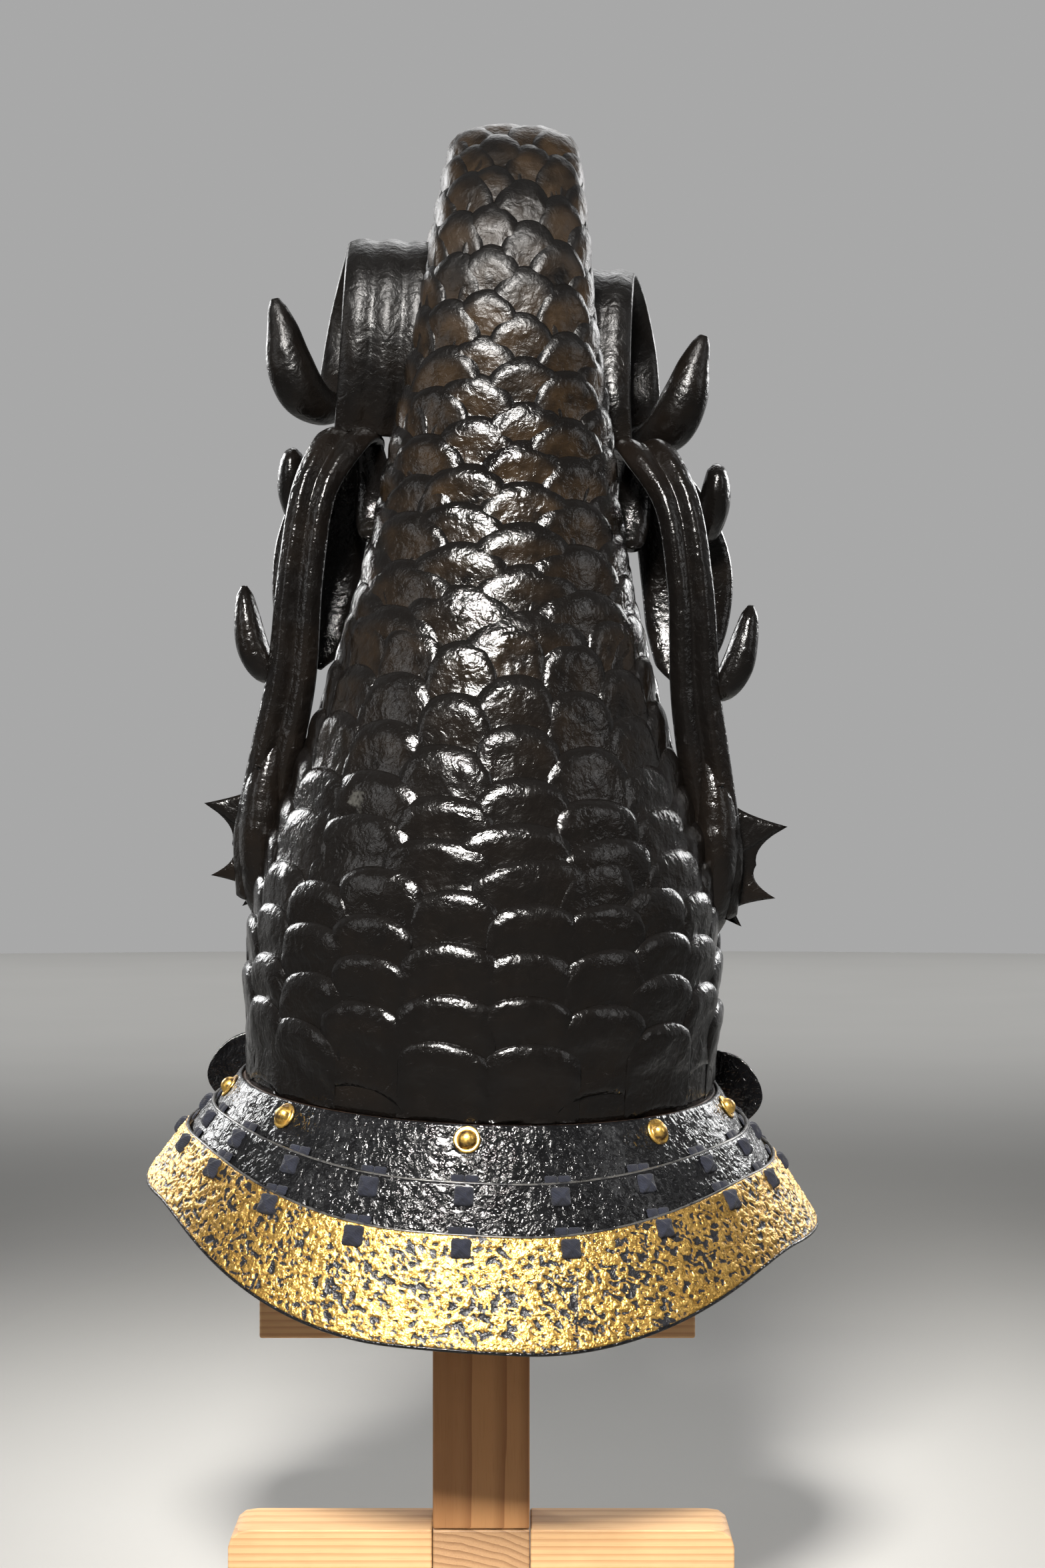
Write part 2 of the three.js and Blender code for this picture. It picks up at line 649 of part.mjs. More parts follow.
// The small leaf inside the curl, on the neck's side.
const LEAF_ROWS = [
  { out: 0.62, forward: 0.25, height: 0.978, width: 0.5, thickness: 0.5 },
  { out: 0.59, forward: 0.42, height: 0.91, width: 0.7, thickness: 0.7 },
  { out: 0.59, forward: 0.4, height: 0.865, width: 0.7, thickness: 0.7 },
  { out: 0.59, forward: 0.25, height: 0.83, width: 0.5, thickness: 0.6 },
  { out: 0.6, forward: 0.1, height: 0.825, width: 0.1, thickness: 0.1 },
];

// Two buds that grow outward from the frond and turn up.
const LOW_BUD_ROWS = [
  { out: 0.94, forward: -0.36, height: 0.615, width: 0.3, thickness: 0.5 },
  { out: 1.02, forward: -0.34, height: 0.622, width: 0.55, thickness: 0.9 },
  { out: 1.085, forward: -0.32, height: 0.655, width: 0.66, thickness: 1.1 },
  { out: 1.12, forward: -0.3, height: 0.7, width: 0.5, thickness: 0.85 },
  { out: 1.135, forward: -0.28, height: 0.745, width: 0.06, thickness: 0.1 },
];
const HIGH_BUD_ROWS = [
  { out: 0.82, forward: 0.9, height: 0.86, width: 0.5, thickness: 0.5 },
  { out: 0.91, forward: 0.66, height: 0.855, width: 0.7, thickness: 1 },
  { out: 0.955, forward: 0.5, height: 0.89, width: 0.75, thickness: 1.15 },
  { out: 0.965, forward: 0.42, height: 0.925, width: 0.6, thickness: 0.95 },
  { out: 0.95, forward: 0.38, height: 0.95, width: 0.1, thickness: 0.2 },
];

function frondPlaces(rows, side) {
  const skewed = FROND_SKEW * -side;
  return rows.map((row) => ({
    place: new THREE.Vector3(
      side * (row.out * FROND_OUT + (row.skew ?? 0) * skewed),
      row.forward * FROND_FORWARD,
      row.height * FROND_HEIGHT,
    ),
    width: row.width * FROND_WIDTH,
    thickness: row.thickness * FROND_THICKNESS,
  }));
}

// The swelling where a frond and its fin spring from the body.
const KNUCKLE_ROWS = [
  { out: 1.0, forward: -0.06, height: 0.22, width: 0.3, thickness: 0.3 },
  { out: 1.0, forward: -0.08, height: 0.27, width: 1.5, thickness: 1.5 },
  { out: 1.02, forward: -0.14, height: 0.37, width: 1.9, thickness: 1.75 },
  { out: 1.0, forward: -0.24, height: 0.46, width: 1.3, thickness: 1.4 },
  { out: 0.95, forward: -0.36, height: 0.53, width: 0.3, thickness: 0.3 },
];

function finSeat(side) {
  return FROND_OUT + (side < 0 ? FIN_SEAT_LEFT : FIN_SEAT_RIGHT);
}

// The slot in the swelling that takes the fin's root. It is open at its lower end.
function finSlot(side) {
  const depth = FIN_ROOT + FIN_REACH;
  const slot = new THREE.BoxGeometry(depth, FIN_THICKNESS + 2 * GAP, 2 * FIN_HEIGHT);
  const inner = finSeat(side) - FIN_ROOT - GAP;
  return slot.translate(side * (inner + depth / 2), 0, FIN_LEVEL + GAP);
}

function stem(side, grow) {
  const stations = smooth(frondPlaces(FROND_ROWS, side), 15);
  for (const station of stations) {
    station.width += 2 * grow;
    station.thickness += 2 * grow;
  }
  return solidOf(sweep(stations, FLUTED));
}

function frond(side) {
  const pieces = [
    sweep(smooth(frondPlaces(KNUCKLE_ROWS, side), 6), OVAL, Y_AXIS),
    sweep(smooth(frondPlaces(LEAF_ROWS, side), 5), OVAL),
    sweep(smooth(frondPlaces(LOW_BUD_ROWS, side), 5), OVAL, Y_AXIS),
    sweep(smooth(frondPlaces(HIGH_BUD_ROWS, side), 5), OVAL, Y_AXIS),
  ];
  const whole = pieces.reduce((solid, piece) => solid.add(solidOf(piece)), stem(side, 0));
  return geometryOf(whole.subtract(bodyWithClearance).subtract(solidOf(finSlot(side))));
}

// Fin: its outline as shares of its reach and height, with hollow edges between the spikes.
const FIN_POINTS = [
  { out: 0.95, up: 0.82 },
  { out: 0.46, up: 0.5 },
  { out: 0.8, up: 0.24 },
  { out: 0.14, up: 0.13 },
  { out: 0.26, up: 0 },
];

function fin(side) {
  const outline = new THREE.Shape();
  outline.moveTo(-FIN_ROOT, FIN_HEIGHT * 0.1);
  outline.lineTo(-FIN_ROOT, FIN_HEIGHT);
  outline.lineTo(0, FIN_HEIGHT);
  let last = { out: 0, up: 1 };
  for (const point of FIN_POINTS) {
    const hollow = 0.12;
    outline.quadraticCurveTo(
      ((last.out + point.out) / 2 - hollow) * FIN_REACH,
      ((last.up + point.up) / 2) * FIN_HEIGHT,
      point.out * FIN_REACH,
      point.up * FIN_HEIGHT,
    );
    last = point;
  }
  const blade = new THREE.ExtrudeGeometry(outline, {
    depth: FIN_THICKNESS,
    bevelEnabled: false,
    curveSegments: 4,
  });
  blade.rotateX(Math.PI / 2);
  blade.translate(0, FIN_THICKNESS / 2, 0);
  if (side < 0) blade.rotateZ(Math.PI);
  blade.translate(side * finSeat(side), 0, FIN_LEVEL);
  return geometryOf(solidOf(blade).subtract(bodyWithClearance));
}

// Scrolls over the fronds: a broad band that rises from the frond's crest, rolls over forward and comes
// down outward into an upturned horn. Places in radii from the roll's centre, which the shift moves.
const SCROLL_ROWS = [
  { out: 0.06, forward: -0.86, height: -1.3, width: 1, thickness: 1, shift: 0 },
  { out: 0.02, forward: -1, height: -0.7, width: 1, thickness: 1, shift: 0.4 },
  { out: 0, forward: -1, height: 0, width: 1, thickness: 1, shift: 1 },
  { out: 0, forward: -0.7, height: 0.7, width: 1, thickness: 1, shift: 1 },
  { out: 0.04, forward: 0, height: 1, width: 0.98, thickness: 1, shift: 1 },
  { out: 0.2, forward: 0.7, height: 0.72, width: 0.94, thickness: 1, shift: 1 },
  { out: 0.42, forward: 1, height: 0.04, width: 0.86, thickness: 1.1, shift: 1 },
  { out: 0.56, forward: 0.84, height: -0.62, width: 0.76, thickness: 1.3, shift: 1 },
  { out: 0.68, forward: 0.42, height: -0.98, width: 0.6, thickness: 1.6, shift: 1 },
  { out: 0.78, forward: 0, height: -1.04, width: 0.4, thickness: 1.6, shift: 1 },
];
const HORN_ROWS = [
  { out: 0.6, forward: 0.2, height: -1.0, width: 0.5, thickness: 0.5 },
  { out: 0.85, forward: -0.06, height: -1.02, width: 0.85, thickness: 0.8 },
  { out: 1.08, forward: -0.2, height: -0.86, width: 1, thickness: 1 },
  { out: 1.25, forward: -0.28, height: -0.5, width: 0.9, thickness: 0.95 },
  { out: 1.33, forward: -0.28, height: -0.1, width: 0.55, thickness: 0.6 },
  { out: 1.46, forward: -0.28, height: 0.28, width: 0.06, thickness: 0.06 },
];
const SCROLL_SHIFT = { left: new THREE.Vector3(0, 0, 3), right: new THREE.Vector3(-20, 12, -6) };

function scrollPlaces(rows, side, width, thickness) {
  const shift = side < 0 ? SCROLL_SHIFT.left : SCROLL_SHIFT.right;
  const centre = new THREE.Vector3(
    SCROLL_OUT,
    SCROLL_RADIUS,
    FROND_HEIGHT + SCROLL_RADIUS + SCROLL_THICKNESS,
  );
  return rows.map((row) => {
    const place = new THREE.Vector3(row.out, row.forward, row.height)
      .multiplyScalar(SCROLL_RADIUS)
      .add(centre)
      .addScaledVector(shift, row.shift ?? 1);
    place.x = (place.x + (1 - (row.shift ?? 1)) * shift.x) * side;
    return { place, width: row.width * width, thickness: row.thickness * thickness };
  });
}

function scroll(side) {
  const places = scrollPlaces(SCROLL_ROWS, side, SCROLL_BAND, SCROLL_THICKNESS);
  const band = solidOf(sweep(smooth(places, 14), FLUTED));
  const hornPlaces = scrollPlaces(HORN_ROWS, side, HORN_WIDTH, HORN_WIDTH);
  const horn = solidOf(sweep(smooth(hornPlaces, 7), OVAL, Y_AXIS));
  return geometryOf(band.add(horn).subtract(bodyWithClearance).subtract(stem(side, 1.5 * GAP)));
}

for (const [name, side] of [
  ["left", -1],
  ["right", 1],
]) {
  addPiece(helmet, "frond_" + name, frond(side), BLACK_LACQUER);
  addPiece(helmet, "fin_" + name, fin(side), BLACK_LACQUER);
  addPiece(helmet, "scroll_" + name, scroll(side), BLACK_LACQUER);
}

helmet.rotation.set(PITCH, ROLL, YAW, "ZYX");
helmet.position.set(HELMET_SIDEWAYS, HELMET_FORWARD, RIM_LEVEL);
helmet.updateMatrixWorld(true);

// Stand
function board(width, thickness, height) {
  return new THREE.BoxGeometry(width, thickness, height).translate(0, 0, height / 2);
}

// One half of the cross board: from the long board's side outward, with its top corner rounded off.
function crossBoard(side) {
  const inner = POST_SIDE / 2 + GAP;
  const outer = BASE_WIDTH / 2;
  const outline = new THREE.Shape();
  outline.moveTo(inner, 0);
  outline.lineTo(outer, 0);
  outline.lineTo(outer, BASE_HEIGHT - BASE_CORNER);
  outline.quadraticCurveTo(outer, BASE_HEIGHT, outer - BASE_CORNER * 1.3, BASE_HEIGHT);
  outline.lineTo(inner, BASE_HEIGHT);
  const half = new THREE.ExtrudeGeometry(outline, {
    depth: BASE_THICKNESS,
    bevelEnabled: false,
    curveSegments: 3,
  });
  half.rotateX(Math.PI / 2);
  half.translate(0, BASE_THICKNESS / 2, 0);
  if (side < 0) half.rotateZ(Math.PI);
  return half;
}

addPiece(group, "base_cross_left", crossBoard(-1), PINE);
addPiece(group, "base_cross_right", crossBoard(1), PINE);
const longLength = BASE_THICKNESS / 2 + BASE_REACH;
const longBoard = board(POST_SIDE, longLength, BASE_HEIGHT);
longBoard.translate(0, longLength / 2 - BASE_THICKNESS / 2, 0);
addPiece(group, "base_long", longBoard, PINE);

// The pad fills the crown of the tilted bowl, and the post ends under it.
const crown = skin(domeRings(bowlInset + BOWL_WALL + GAP, BOWL_HEIGHT - BOWL_WALL - GAP));
crown.applyMatrix4(helmet.matrixWorld);
crown.computeBoundingBox();
const padLevel = crown.boundingBox.max.z - PAD_THICKNESS;
const padBlank = new THREE.CylinderGeometry(PAD_RADIUS, PAD_RADIUS, 2 * PAD_THICKNESS, 20);
padBlank.rotateX(Math.PI / 2);
padBlank.translate(0, 0, padLevel + PAD_THICKNESS);
const pad = geometryOf(solidOf(padBlank).intersect(solidOf(crown)));
addPiece(group, "head_pad", pad, PINE);

const postHeight = padLevel - BASE_HEIGHT - 2 * GAP;
const post = board(POST_SIDE, POST_SIDE, postHeight);
post.translate(0, 0, BASE_HEIGHT + GAP);
addPiece(group, "post", post, PINE);

const bar = board(BAR_WIDTH, BAR_THICKNESS, BAR_HEIGHT);
bar.translate(HELMET_SIDEWAYS * 2, POST_SIDE / 2 + GAP + BAR_THICKNESS / 2, BAR_LEVEL);
addPiece(group, "shoulder_bar", bar, PINE);

export default group;
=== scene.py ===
"""A kabuto shaped like a sea dragon, on its wooden stand: lacquered scales, fronds and fins over a laced
neck guard. Lengths in the tables and functions are millimetres, unless said, and meshes are in metres."""

import math

import bpy
import numpy as np
from mathutils import Euler, Matrix, Vector, noise


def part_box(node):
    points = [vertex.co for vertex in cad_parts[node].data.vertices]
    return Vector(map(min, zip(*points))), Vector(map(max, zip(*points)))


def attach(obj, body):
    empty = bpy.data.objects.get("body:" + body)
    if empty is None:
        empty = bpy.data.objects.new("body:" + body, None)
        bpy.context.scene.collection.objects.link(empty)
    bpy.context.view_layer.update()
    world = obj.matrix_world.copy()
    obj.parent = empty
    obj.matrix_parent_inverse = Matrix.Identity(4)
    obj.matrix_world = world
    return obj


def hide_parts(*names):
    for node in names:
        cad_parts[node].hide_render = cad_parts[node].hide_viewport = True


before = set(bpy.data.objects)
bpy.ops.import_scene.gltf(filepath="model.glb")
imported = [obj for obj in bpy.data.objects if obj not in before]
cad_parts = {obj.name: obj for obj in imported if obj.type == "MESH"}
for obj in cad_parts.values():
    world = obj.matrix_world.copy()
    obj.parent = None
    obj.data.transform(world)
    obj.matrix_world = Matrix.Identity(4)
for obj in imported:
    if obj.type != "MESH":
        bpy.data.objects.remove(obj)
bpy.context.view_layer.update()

MM = 0.001
SEED = 7
rng = np.random.default_rng(SEED)
# Blender seeds noise_vector from the clock, so without this line the wrinkles differ at each run.
noise.seed_set(SEED)

# How the helmet sits on the stand, in millimetres and degrees. It is built level about its rim's centre.
SEAT = (-1.2, 25.0, 261.0)
PITCH, ROLL, YAW = 4.1, 2.3, -1.5

RIM_WIDTH, RIM_DEPTH, BODY_HEIGHT = 219.0, 242.0, 449.0
TAIL_REACH, TAIL_SWAY = 88.0, 12.0
BODY_WALL = 3.2
# The lining's rings from the crown down: their heights, and their sizes as shares of the rim's.
LINING_RINGS = ((144, 0.2), (130, 0.6), (96, 0.86), (56, 0.965), (0, 1))
LINING_LEAN = 0.08

# Neck guard: how many facets each lame spans, and the clearance to what touches it.
LAME_THICKNESS, LAME_STEP, LAME_OVERLAP = 1.6, 3.6, 8.0
SIDE_FLARE, REAR_FLARE, SIDE_SHARE, GUARD_SLANT = 0.7, 0.4, 0.62, 0.055
TOP_DEPTH, MIDDLE_DEPTH, GOLD_DEPTH = 23.0, 20.0, 45.0
FACET = math.radians(9)
TOP_FACETS, LOWER_FACETS = 27, 25
GAP = 0.3
LACE_COLUMNS = 13
RIVET_FACETS = (-9, -5, 0, 5, 9)
RIVET_DROP = 6.5
KNOT_SIZE, KNOT_HEIGHT, KNOT_DROP = 9.4, 3.0, 6.0
PATCH_LENGTH, PATCH_WIDTH, PATCH_HEIGHT, PATCH_DROP, PATCH_ASIDE = 4.4, 6.2, 0.9, -1.6, 3.0
EDGE_RADIUS, RIM_RADIUS = 0.95, 0.75
TURNBACK_REACH, TURNBACK_HEIGHT = 41.0, 39.0
VISOR_REACH, VISOR_DROP, VISOR_SETBACK, VISOR_CROWN = 42.0, 20.0, 0.14, 1.4
VISOR_FACING = np.array([0, 0.4, 0.92])

FROND_OUT, FROND_HEIGHT, FROND_FORWARD = 103.0, 303.0, 44.0
FROND_WIDTH, FROND_THICKNESS, FROND_SKEW = 24.0, 13.0, 4.0
SCROLL_RADIUS, SCROLL_BAND, SCROLL_THICKNESS, SCROLL_OUT = 38.0, 42.0, 6.0, 56.0
SCROLL_SHIFT = {-1: (0.0, 0.0, 3.0), 1: (-20.0, 12.0, -6.0)}
HORN_WIDTH = 23.0
FIN_REACH, FIN_HEIGHT, FIN_THICKNESS, FIN_ROOT, FIN_LEVEL = 28.0, 58.0, 2.6, 7.0, 76.0
FIN_SEAT = {-1: 4.0, 1: 9.0}
FIN_HOLLOW = 0.34
# Thorns at a frond's foot: out, forward and height as shares of the frond's sizes, and length.
THORNS = ((1.06, -0.42, 0.36, 5), (1.0, -0.5, 0.47, 6), (0.93, -0.3, 0.56, 4))
THORN_RADIUS = 1.5

POST_SIDE, BASE_HEIGHT, BASE_THICKNESS = 44.0, 60.0, 44.0
BASE_WIDTH, BASE_REACH, BASE_CORNER = 230.0, 190.0, 8.0
# A rounded top corner as shares of its size, inward and down.
CORNER_ARC = ((0, 1), (0.18, 0.42), (0.6, 0.1), (1.3, 0))
EASED_EDGE = 1.1

# Where the lacquer is chipped to grey, in metres.
WORN_PATCH = (-0.0553, -0.077, 0.391)
# The crack down the gold, in metres: its place across, middle height, half length and how far it wanders.
CRACK_PLACE, CRACK_HEIGHT, CRACK_REACH, CRACK_WANDER = 0.0418, 0.179, 0.013, 0.004

helmet_pose = (
    Matrix.Translation(Vector(SEAT) * MM)
    @ Matrix.Rotation(math.radians(YAW), 4, "Z")
    @ Matrix.Rotation(math.radians(ROLL), 4, "Y")
    @ Matrix.Rotation(math.radians(PITCH), 4, "X")
)
level_pose = Matrix.Identity(4)


# Meshes


def new_object(name, points, faces, pose, smooth=True, tints=None):
    """A mesh of points in millimetres, set in place by the pose. The tints are a number for each point."""
    mesh = bpy.data.meshes.new(name)
    mesh.from_pydata([tuple(p) for p in np.asarray(points) * MM], [], faces)
    mesh.transform(pose)
    mesh.validate()
    for polygon in mesh.polygons:
        polygon.use_smooth = smooth
    if tints is not None:
        layer = mesh.attributes.new("tint", "FLOAT", "POINT")
        layer.data.foreach_set("value", np.asarray(tints, dtype=np.float32))
    obj = bpy.data.objects.new(name, mesh)
    bpy.context.scene.collection.objects.link(obj)
    return obj


def grid_faces(rows, columns, closed, start=0, flip=False):
    """Quads over a grid of points, row after row, and round each row where it is closed."""
    faces = []
    for r in range(rows - 1):
        for c in range(columns if closed else columns - 1):
            a = start + r * columns + c
            b = start + r * columns + (c + 1) % columns
            quad = (a, b, b + columns, a + columns)
            faces.append(quad[::-1] if flip else quad)
    return faces


def fan_faces(ring, centre, flip=False):
    """Triangles from each edge of a ring to its centre."""
    count = len(ring)
    faces = [(ring[i], ring[(i + 1) % count], centre) for i in range(count)]
    return [f[::-1] for f in faces] if flip else faces


def tube(rings):
    """Points and faces of closed rings with both ends shut, facing outward."""
    rings = np.asarray(rings)
    rows, columns = rings.shape[:2]
    points = np.concatenate([rings.reshape(-1, 3), rings[:1].mean(axis=1), rings[-1:].mean(axis=1)])
    faces = grid_faces(rows, columns, True)
    first = list(range(columns))
    last = [(rows - 1) * columns + c for c in first]
    faces += fan_faces(first, rows * columns, flip=True) + fan_faces(last, rows * columns + 1)
    a, b, c = (points[[f[i] for f in faces]] for i in (0, 1, 2))
    d = points[[f[-1] for f in faces]]
    volume = (np.einsum("ij,ij->i", a, np.cross(b, c)) + np.einsum("ij,ij->i", a, np.cross(c, d))).sum()
    return points, faces if volume > 0 else [f[::-1] for f in faces]


def joined(parts):
    """Several (points, faces) as one."""
    points, faces, start = [], [], 0
    for part_points, part_faces in parts:
        points.append(np.asarray(part_points))
        faces += [tuple(i + start for i in f) for f in part_faces]
        start += len(part_points)
    return np.concatenate(points), faces


# Curves


def spline(rows, count, centripetal=True):
    """A smooth curve through the rows, read at count even steps."""
    rows = np.asarray(rows, dtype=float)
    padded = np.concatenate([[2 * rows[0] - rows[1]], rows, [2 * rows[-1] - rows[-2]]])
    result = []
    for t in np.linspace(0, len(rows) - 1, count):
        i = min(int(t), len(rows) - 2)
        w = t - i
        p0, p1, p2, p3 = padded[i : i + 4]
        if centripetal:
            steps = (p1 - p0, p2 - p1, p3 - p2)
            d0, d1, d2 = (max(np.linalg.norm(step), 1e-4) ** 0.5 for step in steps)
            m1 = ((p1 - p0) / d0 - (p2 - p0) / (d0 + d1) + (p2 - p1) / d1) * d1
            m2 = ((p2 - p1) / d1 - (p3 - p1) / (d1 + d2) + (p3 - p2) / d2) * d1
        else:
            m1, m2 = (p2 - p0) / 2, (p3 - p1) / 2
        result.append(
            p1
            + m1 * w
            + (-3 * p1 + 3 * p2 - 2 * m1 - m2) * w**2
            + (2 * p1 - 2 * p2 + m1 + m2) * w**3
        )
    return np.array(result)


def unit(v):
    return v / np.maximum(np.linalg.norm(v, axis=-1, keepdims=True), 1e-9)


def smoothstep(x, low, high):
    t = np.clip((np.asarray(x, dtype=float) - low) / (high - low), 0, 1)
    return t * t * (3 - 2 * t)


# Body: one row for each section, as shares of the tail's reach, the body's height and the rim's half width
# and half depth, its share of the tail's sway and how square it is, where 2 is an ellipse.
BODY_ROWS = np.array(
    [
        (0, 0, 1, 1, 0, 2),
        (-0.01, 0.062, 0.999, 1.004, 0, 2),
        (-0.03, 0.134, 0.986, 0.992, 0, 2),
        (-0.07, 0.2, 0.957, 0.939, 0, 2),
        (-0.11, 0.256, 0.896, 0.865, 0, 2),
        (-0.17, 0.312, 0.81, 0.77, 0, 2),
        (-0.22, 0.367, 0.729, 0.66, 0, 2),
        (-0.25, 0.434, 0.643, 0.541, 0, 2.05),
        (-0.256, 0.501, 0.564, 0.439, 0, 2.1),
        (-0.244, 0.568, 0.507, 0.357, 0, 2.15),
        (-0.222, 0.646, 0.452, 0.287, 0, 2.2),
        (-0.193, 0.724, 0.398, 0.242, 0, 2.25),
        (-0.159, 0.791, 0.348, 0.213, 0, 2.3),
        (-0.08, 0.857, 0.317, 0.189, 0, 2.4),
        (0.045, 0.905, 0.29, 0.164, 0, 2.5),
        (0.216, 0.94, 0.267, 0.143, 0.05, 2.6),
        (0.42, 0.952, 0.26, 0.131, 0.2, 2.7),
        (0.636, 0.937, 0.262, 0.123, 0.45, 2.7),
        (0.807, 0.903, 0.271, 0.115, 0.7, 2.6),
        (0.909, 0.855, 0.29, 0.102, 0.9, 2.5),
        (0.955, 0.788, 0.326, 0.086, 1, 2.4),
        (0.977, 0.722, 0.38, 0.066, 1, 2.3),
        (0.989, 0.664, 0.425, 0.041, 1, 2.2),
        (1, 0.633, 0.362, 0.025, 1, 2.2),
    ]
)

LINE_STEPS = 2400
body_line = spline(BODY_ROWS[:, [4, 0, 1]] * (-TAIL_SWAY, TAIL_REACH, BODY_HEIGHT), LINE_STEPS)
body_sizes = BODY_ROWS[:, [2, 3, 5]] * (RIM_WIDTH / 2, RIM_DEPTH / 2, 1)
body_sizes = spline(body_sizes, LINE_STEPS, centripetal=False)
line_lengths = np.concatenate([[0], np.cumsum(np.linalg.norm(np.diff(body_line, axis=0), axis=1))])
BODY_LENGTH = line_lengths[-1]
line_tangents = unit(np.gradient(body_line, axis=0))


def along_line(table, along):
    """The table's columns, read at lengths along the body's line."""
    return np.stack([np.interp(along, line_lengths, table[:, k]) for k in range(table.shape[1])], axis=-1)


def body_point(along, angle, out):
    """Points on the body: lengths along its line, angles from the rear and how far they stand out."""
    along, angle, out = np.broadcast_arrays(*(np.asarray(v, dtype=float) for v in (along, angle, out)))
    centre = along_line(body_line, along)
    size = along_line(body_sizes, along)
    tilt = smoothstep(along / BODY_LENGTH, 0.12, 0.4)[..., None]
    up = np.array([0.0, 0.0, 1.0])
    normal = unit(up * (1 - tilt) + along_line(line_tangents, along) * tilt)
    side = unit(np.array([1.0, 0.0, 0.0]) - normal * normal[..., :1])
    rear = np.cross(side, normal)
    power = 2 / size[..., 2]
    s, c = np.sin(angle), np.cos(angle)
    across = np.sign(s) * np.abs(s) ** power
    back = np.sign(c) * np.abs(c) ** power
    return (
        centre
        + side * ((size[..., 0] + out) * across)[..., None]
        + rear * ((size[..., 1] + out) * back)[..., None]
    )


ANGLE_STEPS = 181
ring_angles = np.linspace(0, 2 * math.pi, ANGLE_STEPS)


def ring_table(along):
    """The lengths round the body's section at that place, up to each of the ring angles."""
    ring = body_point(along, ring_angles, 0)
    return np.concatenate([[0], np.cumsum(np.linalg.norm(np.diff(ring, axis=0), axis=1))])


def body_shell():
    """The smooth body under the scales, closed at the tail and open over the bowl."""
    rows, columns = 230, 96
    alongs = np.linspace(0, BODY_LENGTH, rows)
    angles = np.arange(columns) * 2 * math.pi / columns
    skin = body_point(alongs[:, None], angles[None, :], -0.2)
    lining = []
    for height, share in LINING_RINGS:
        half_width = (RIM_WIDTH / 2 - BODY_WALL) * share
        half_depth = (RIM_DEPTH / 2 - BODY_WALL) * share
        back = LINING_LEAN * height
        lining.append(
            [(half_width * math.sin(a), -half_depth * math.cos(a) - back, height) for a in angles]
        )
    return tube(np.concatenate([np.array(lining), skin]))


# Scales by zone: where it starts and ends along the body, how many columns go round, how far they are turned
# as a share of a round, how far apart the rows are, how wide a scale is against its column, how high its arch
# is against the pitch, how far it stands out, how far in from its edge the shoulder starts, and its points
# across and along.
SCALE_ZONES = [
    dict(
        start=23.7, end=118, columns=20, turned=0.0095, pitch=21.3,
        width=1.2, arch=0.5, relief=3.0, shoulder=6.5, grid=(25, 21),
    ),
    dict(
        start=106, end=222, columns=16, turned=0, pitch=20.6,
        width=1.24, arch=0.54, relief=2.9, shoulder=6.5, grid=(25, 21),
    ),
    dict(
        start=212, end=612, columns=12, turned=0, pitch=18.6,
        width=1.7, arch=0.86, relief=2.5, shoulder=7.5, grid=(21, 19),
    ),
]
SCALE_SUNK = 1.4
# How far up each column of the lowest zone is set, as a share of the pitch, from the rear round.
COLUMN_PHASES = (
    0.02, 0.78, 0.3, 0.95, 0.4, 0.05, 0.5, 0.1, 0.6, 0.2,
    0.7, 0.15, 0.6, 0.08, 0.5, 0.9, 0.35, 0.1, 0.68, 0.0,
)


def one_scale(zone, place, turn, size):
    """A scale with its free edge upward: a pillow that starts under the scale below and drops at the edge."""
    across_count, along_count = zone["grid"]
    lengths = ring_table(place)
    t = np.sin(np.linspace(-math.pi / 2, math.pi / 2, across_count))[None, :]
    pitch = zone["pitch"] * size
    column = lengths[-1] / zone["columns"]
    width = column * zone["width"] * size
    arch = zone["arch"] * pitch * min(1.0, column / zone["pitch"] + 0.2)
    # The free edge is an arch, a little askew.
    skew = rng.normal(0, 0.05) * pitch
    edge = arch * (1 - np.sqrt(1 - 0.985 * t**2)) + skew * t
    # Depths from the free edge down, closer together near it. The first and last rows are sunk in the body.
    length = 1.75 * pitch
    depth = np.linspace(0, 1, along_count - 2)[1:] ** 1.5 * length
    depth = np.concatenate([[0.0, 0.0], depth, [length * 1.02]])
    d = depth[:, None]
    shoulder = zone["shoulder"] * size * rng.uniform(0.85, 1.2)
    relief = zone["relief"] * rng.uniform(0.82, 1.15)
    # A rounded shoulder at the free edge, a fall toward the scale below and rounded sides.
    top = np.sqrt(np.clip(1 - ((shoulder - np.minimum(d, shoulder)) / shoulder) ** 2, 0, 1))
    fall = 1 - 0.93 * smoothstep(d, shoulder * 0.7, pitch * 1.25)
    from_side = (1 - np.abs(t)) * width / 2
    rim = 0.26 * width
    sides = np.sqrt(np.clip(1 - ((rim - np.minimum(from_side, rim)) / rim) ** 2, 0, 1))
    bulge = 1 + 0.14 * (1 - t**2)
    out = relief * top * fall * sides * bulge
    seed = rng.uniform(0, 90, 3)
    uneven = np.array(
        [[noise.noise(Vector((a * 2.6, b * 0.16, 0)) + Vector(seed)) for a in t[0]] for b in depth]
    )
    out = out + 0.55 * uneven * (top > 0.3)
    out[[0, -1], :] = -SCALE_SUNK
    sway = rng.normal(0, 0.04) * width
    u = (turn * lengths[-1] + t * width / 2 + sway + 0 * d) % lengths[-1]
    angle = np.interp(u, lengths, ring_angles)
    along = np.clip(place - edge - d, 0.6, BODY_LENGTH - 0.5)
    points = body_point(along, angle, out)
    faces = grid_faces(along_count, across_count, False, flip=True)
    # The tint is strongest on the scale's face.
    face = smoothstep(d, shoulder * 0.55, shoulder * 1.5) * smoothstep(from_side, 0, rim)
    tint = rng.uniform(0.35, 1) * face + 0 * t
    return points.reshape(-1, 3), faces, tint.ravel()


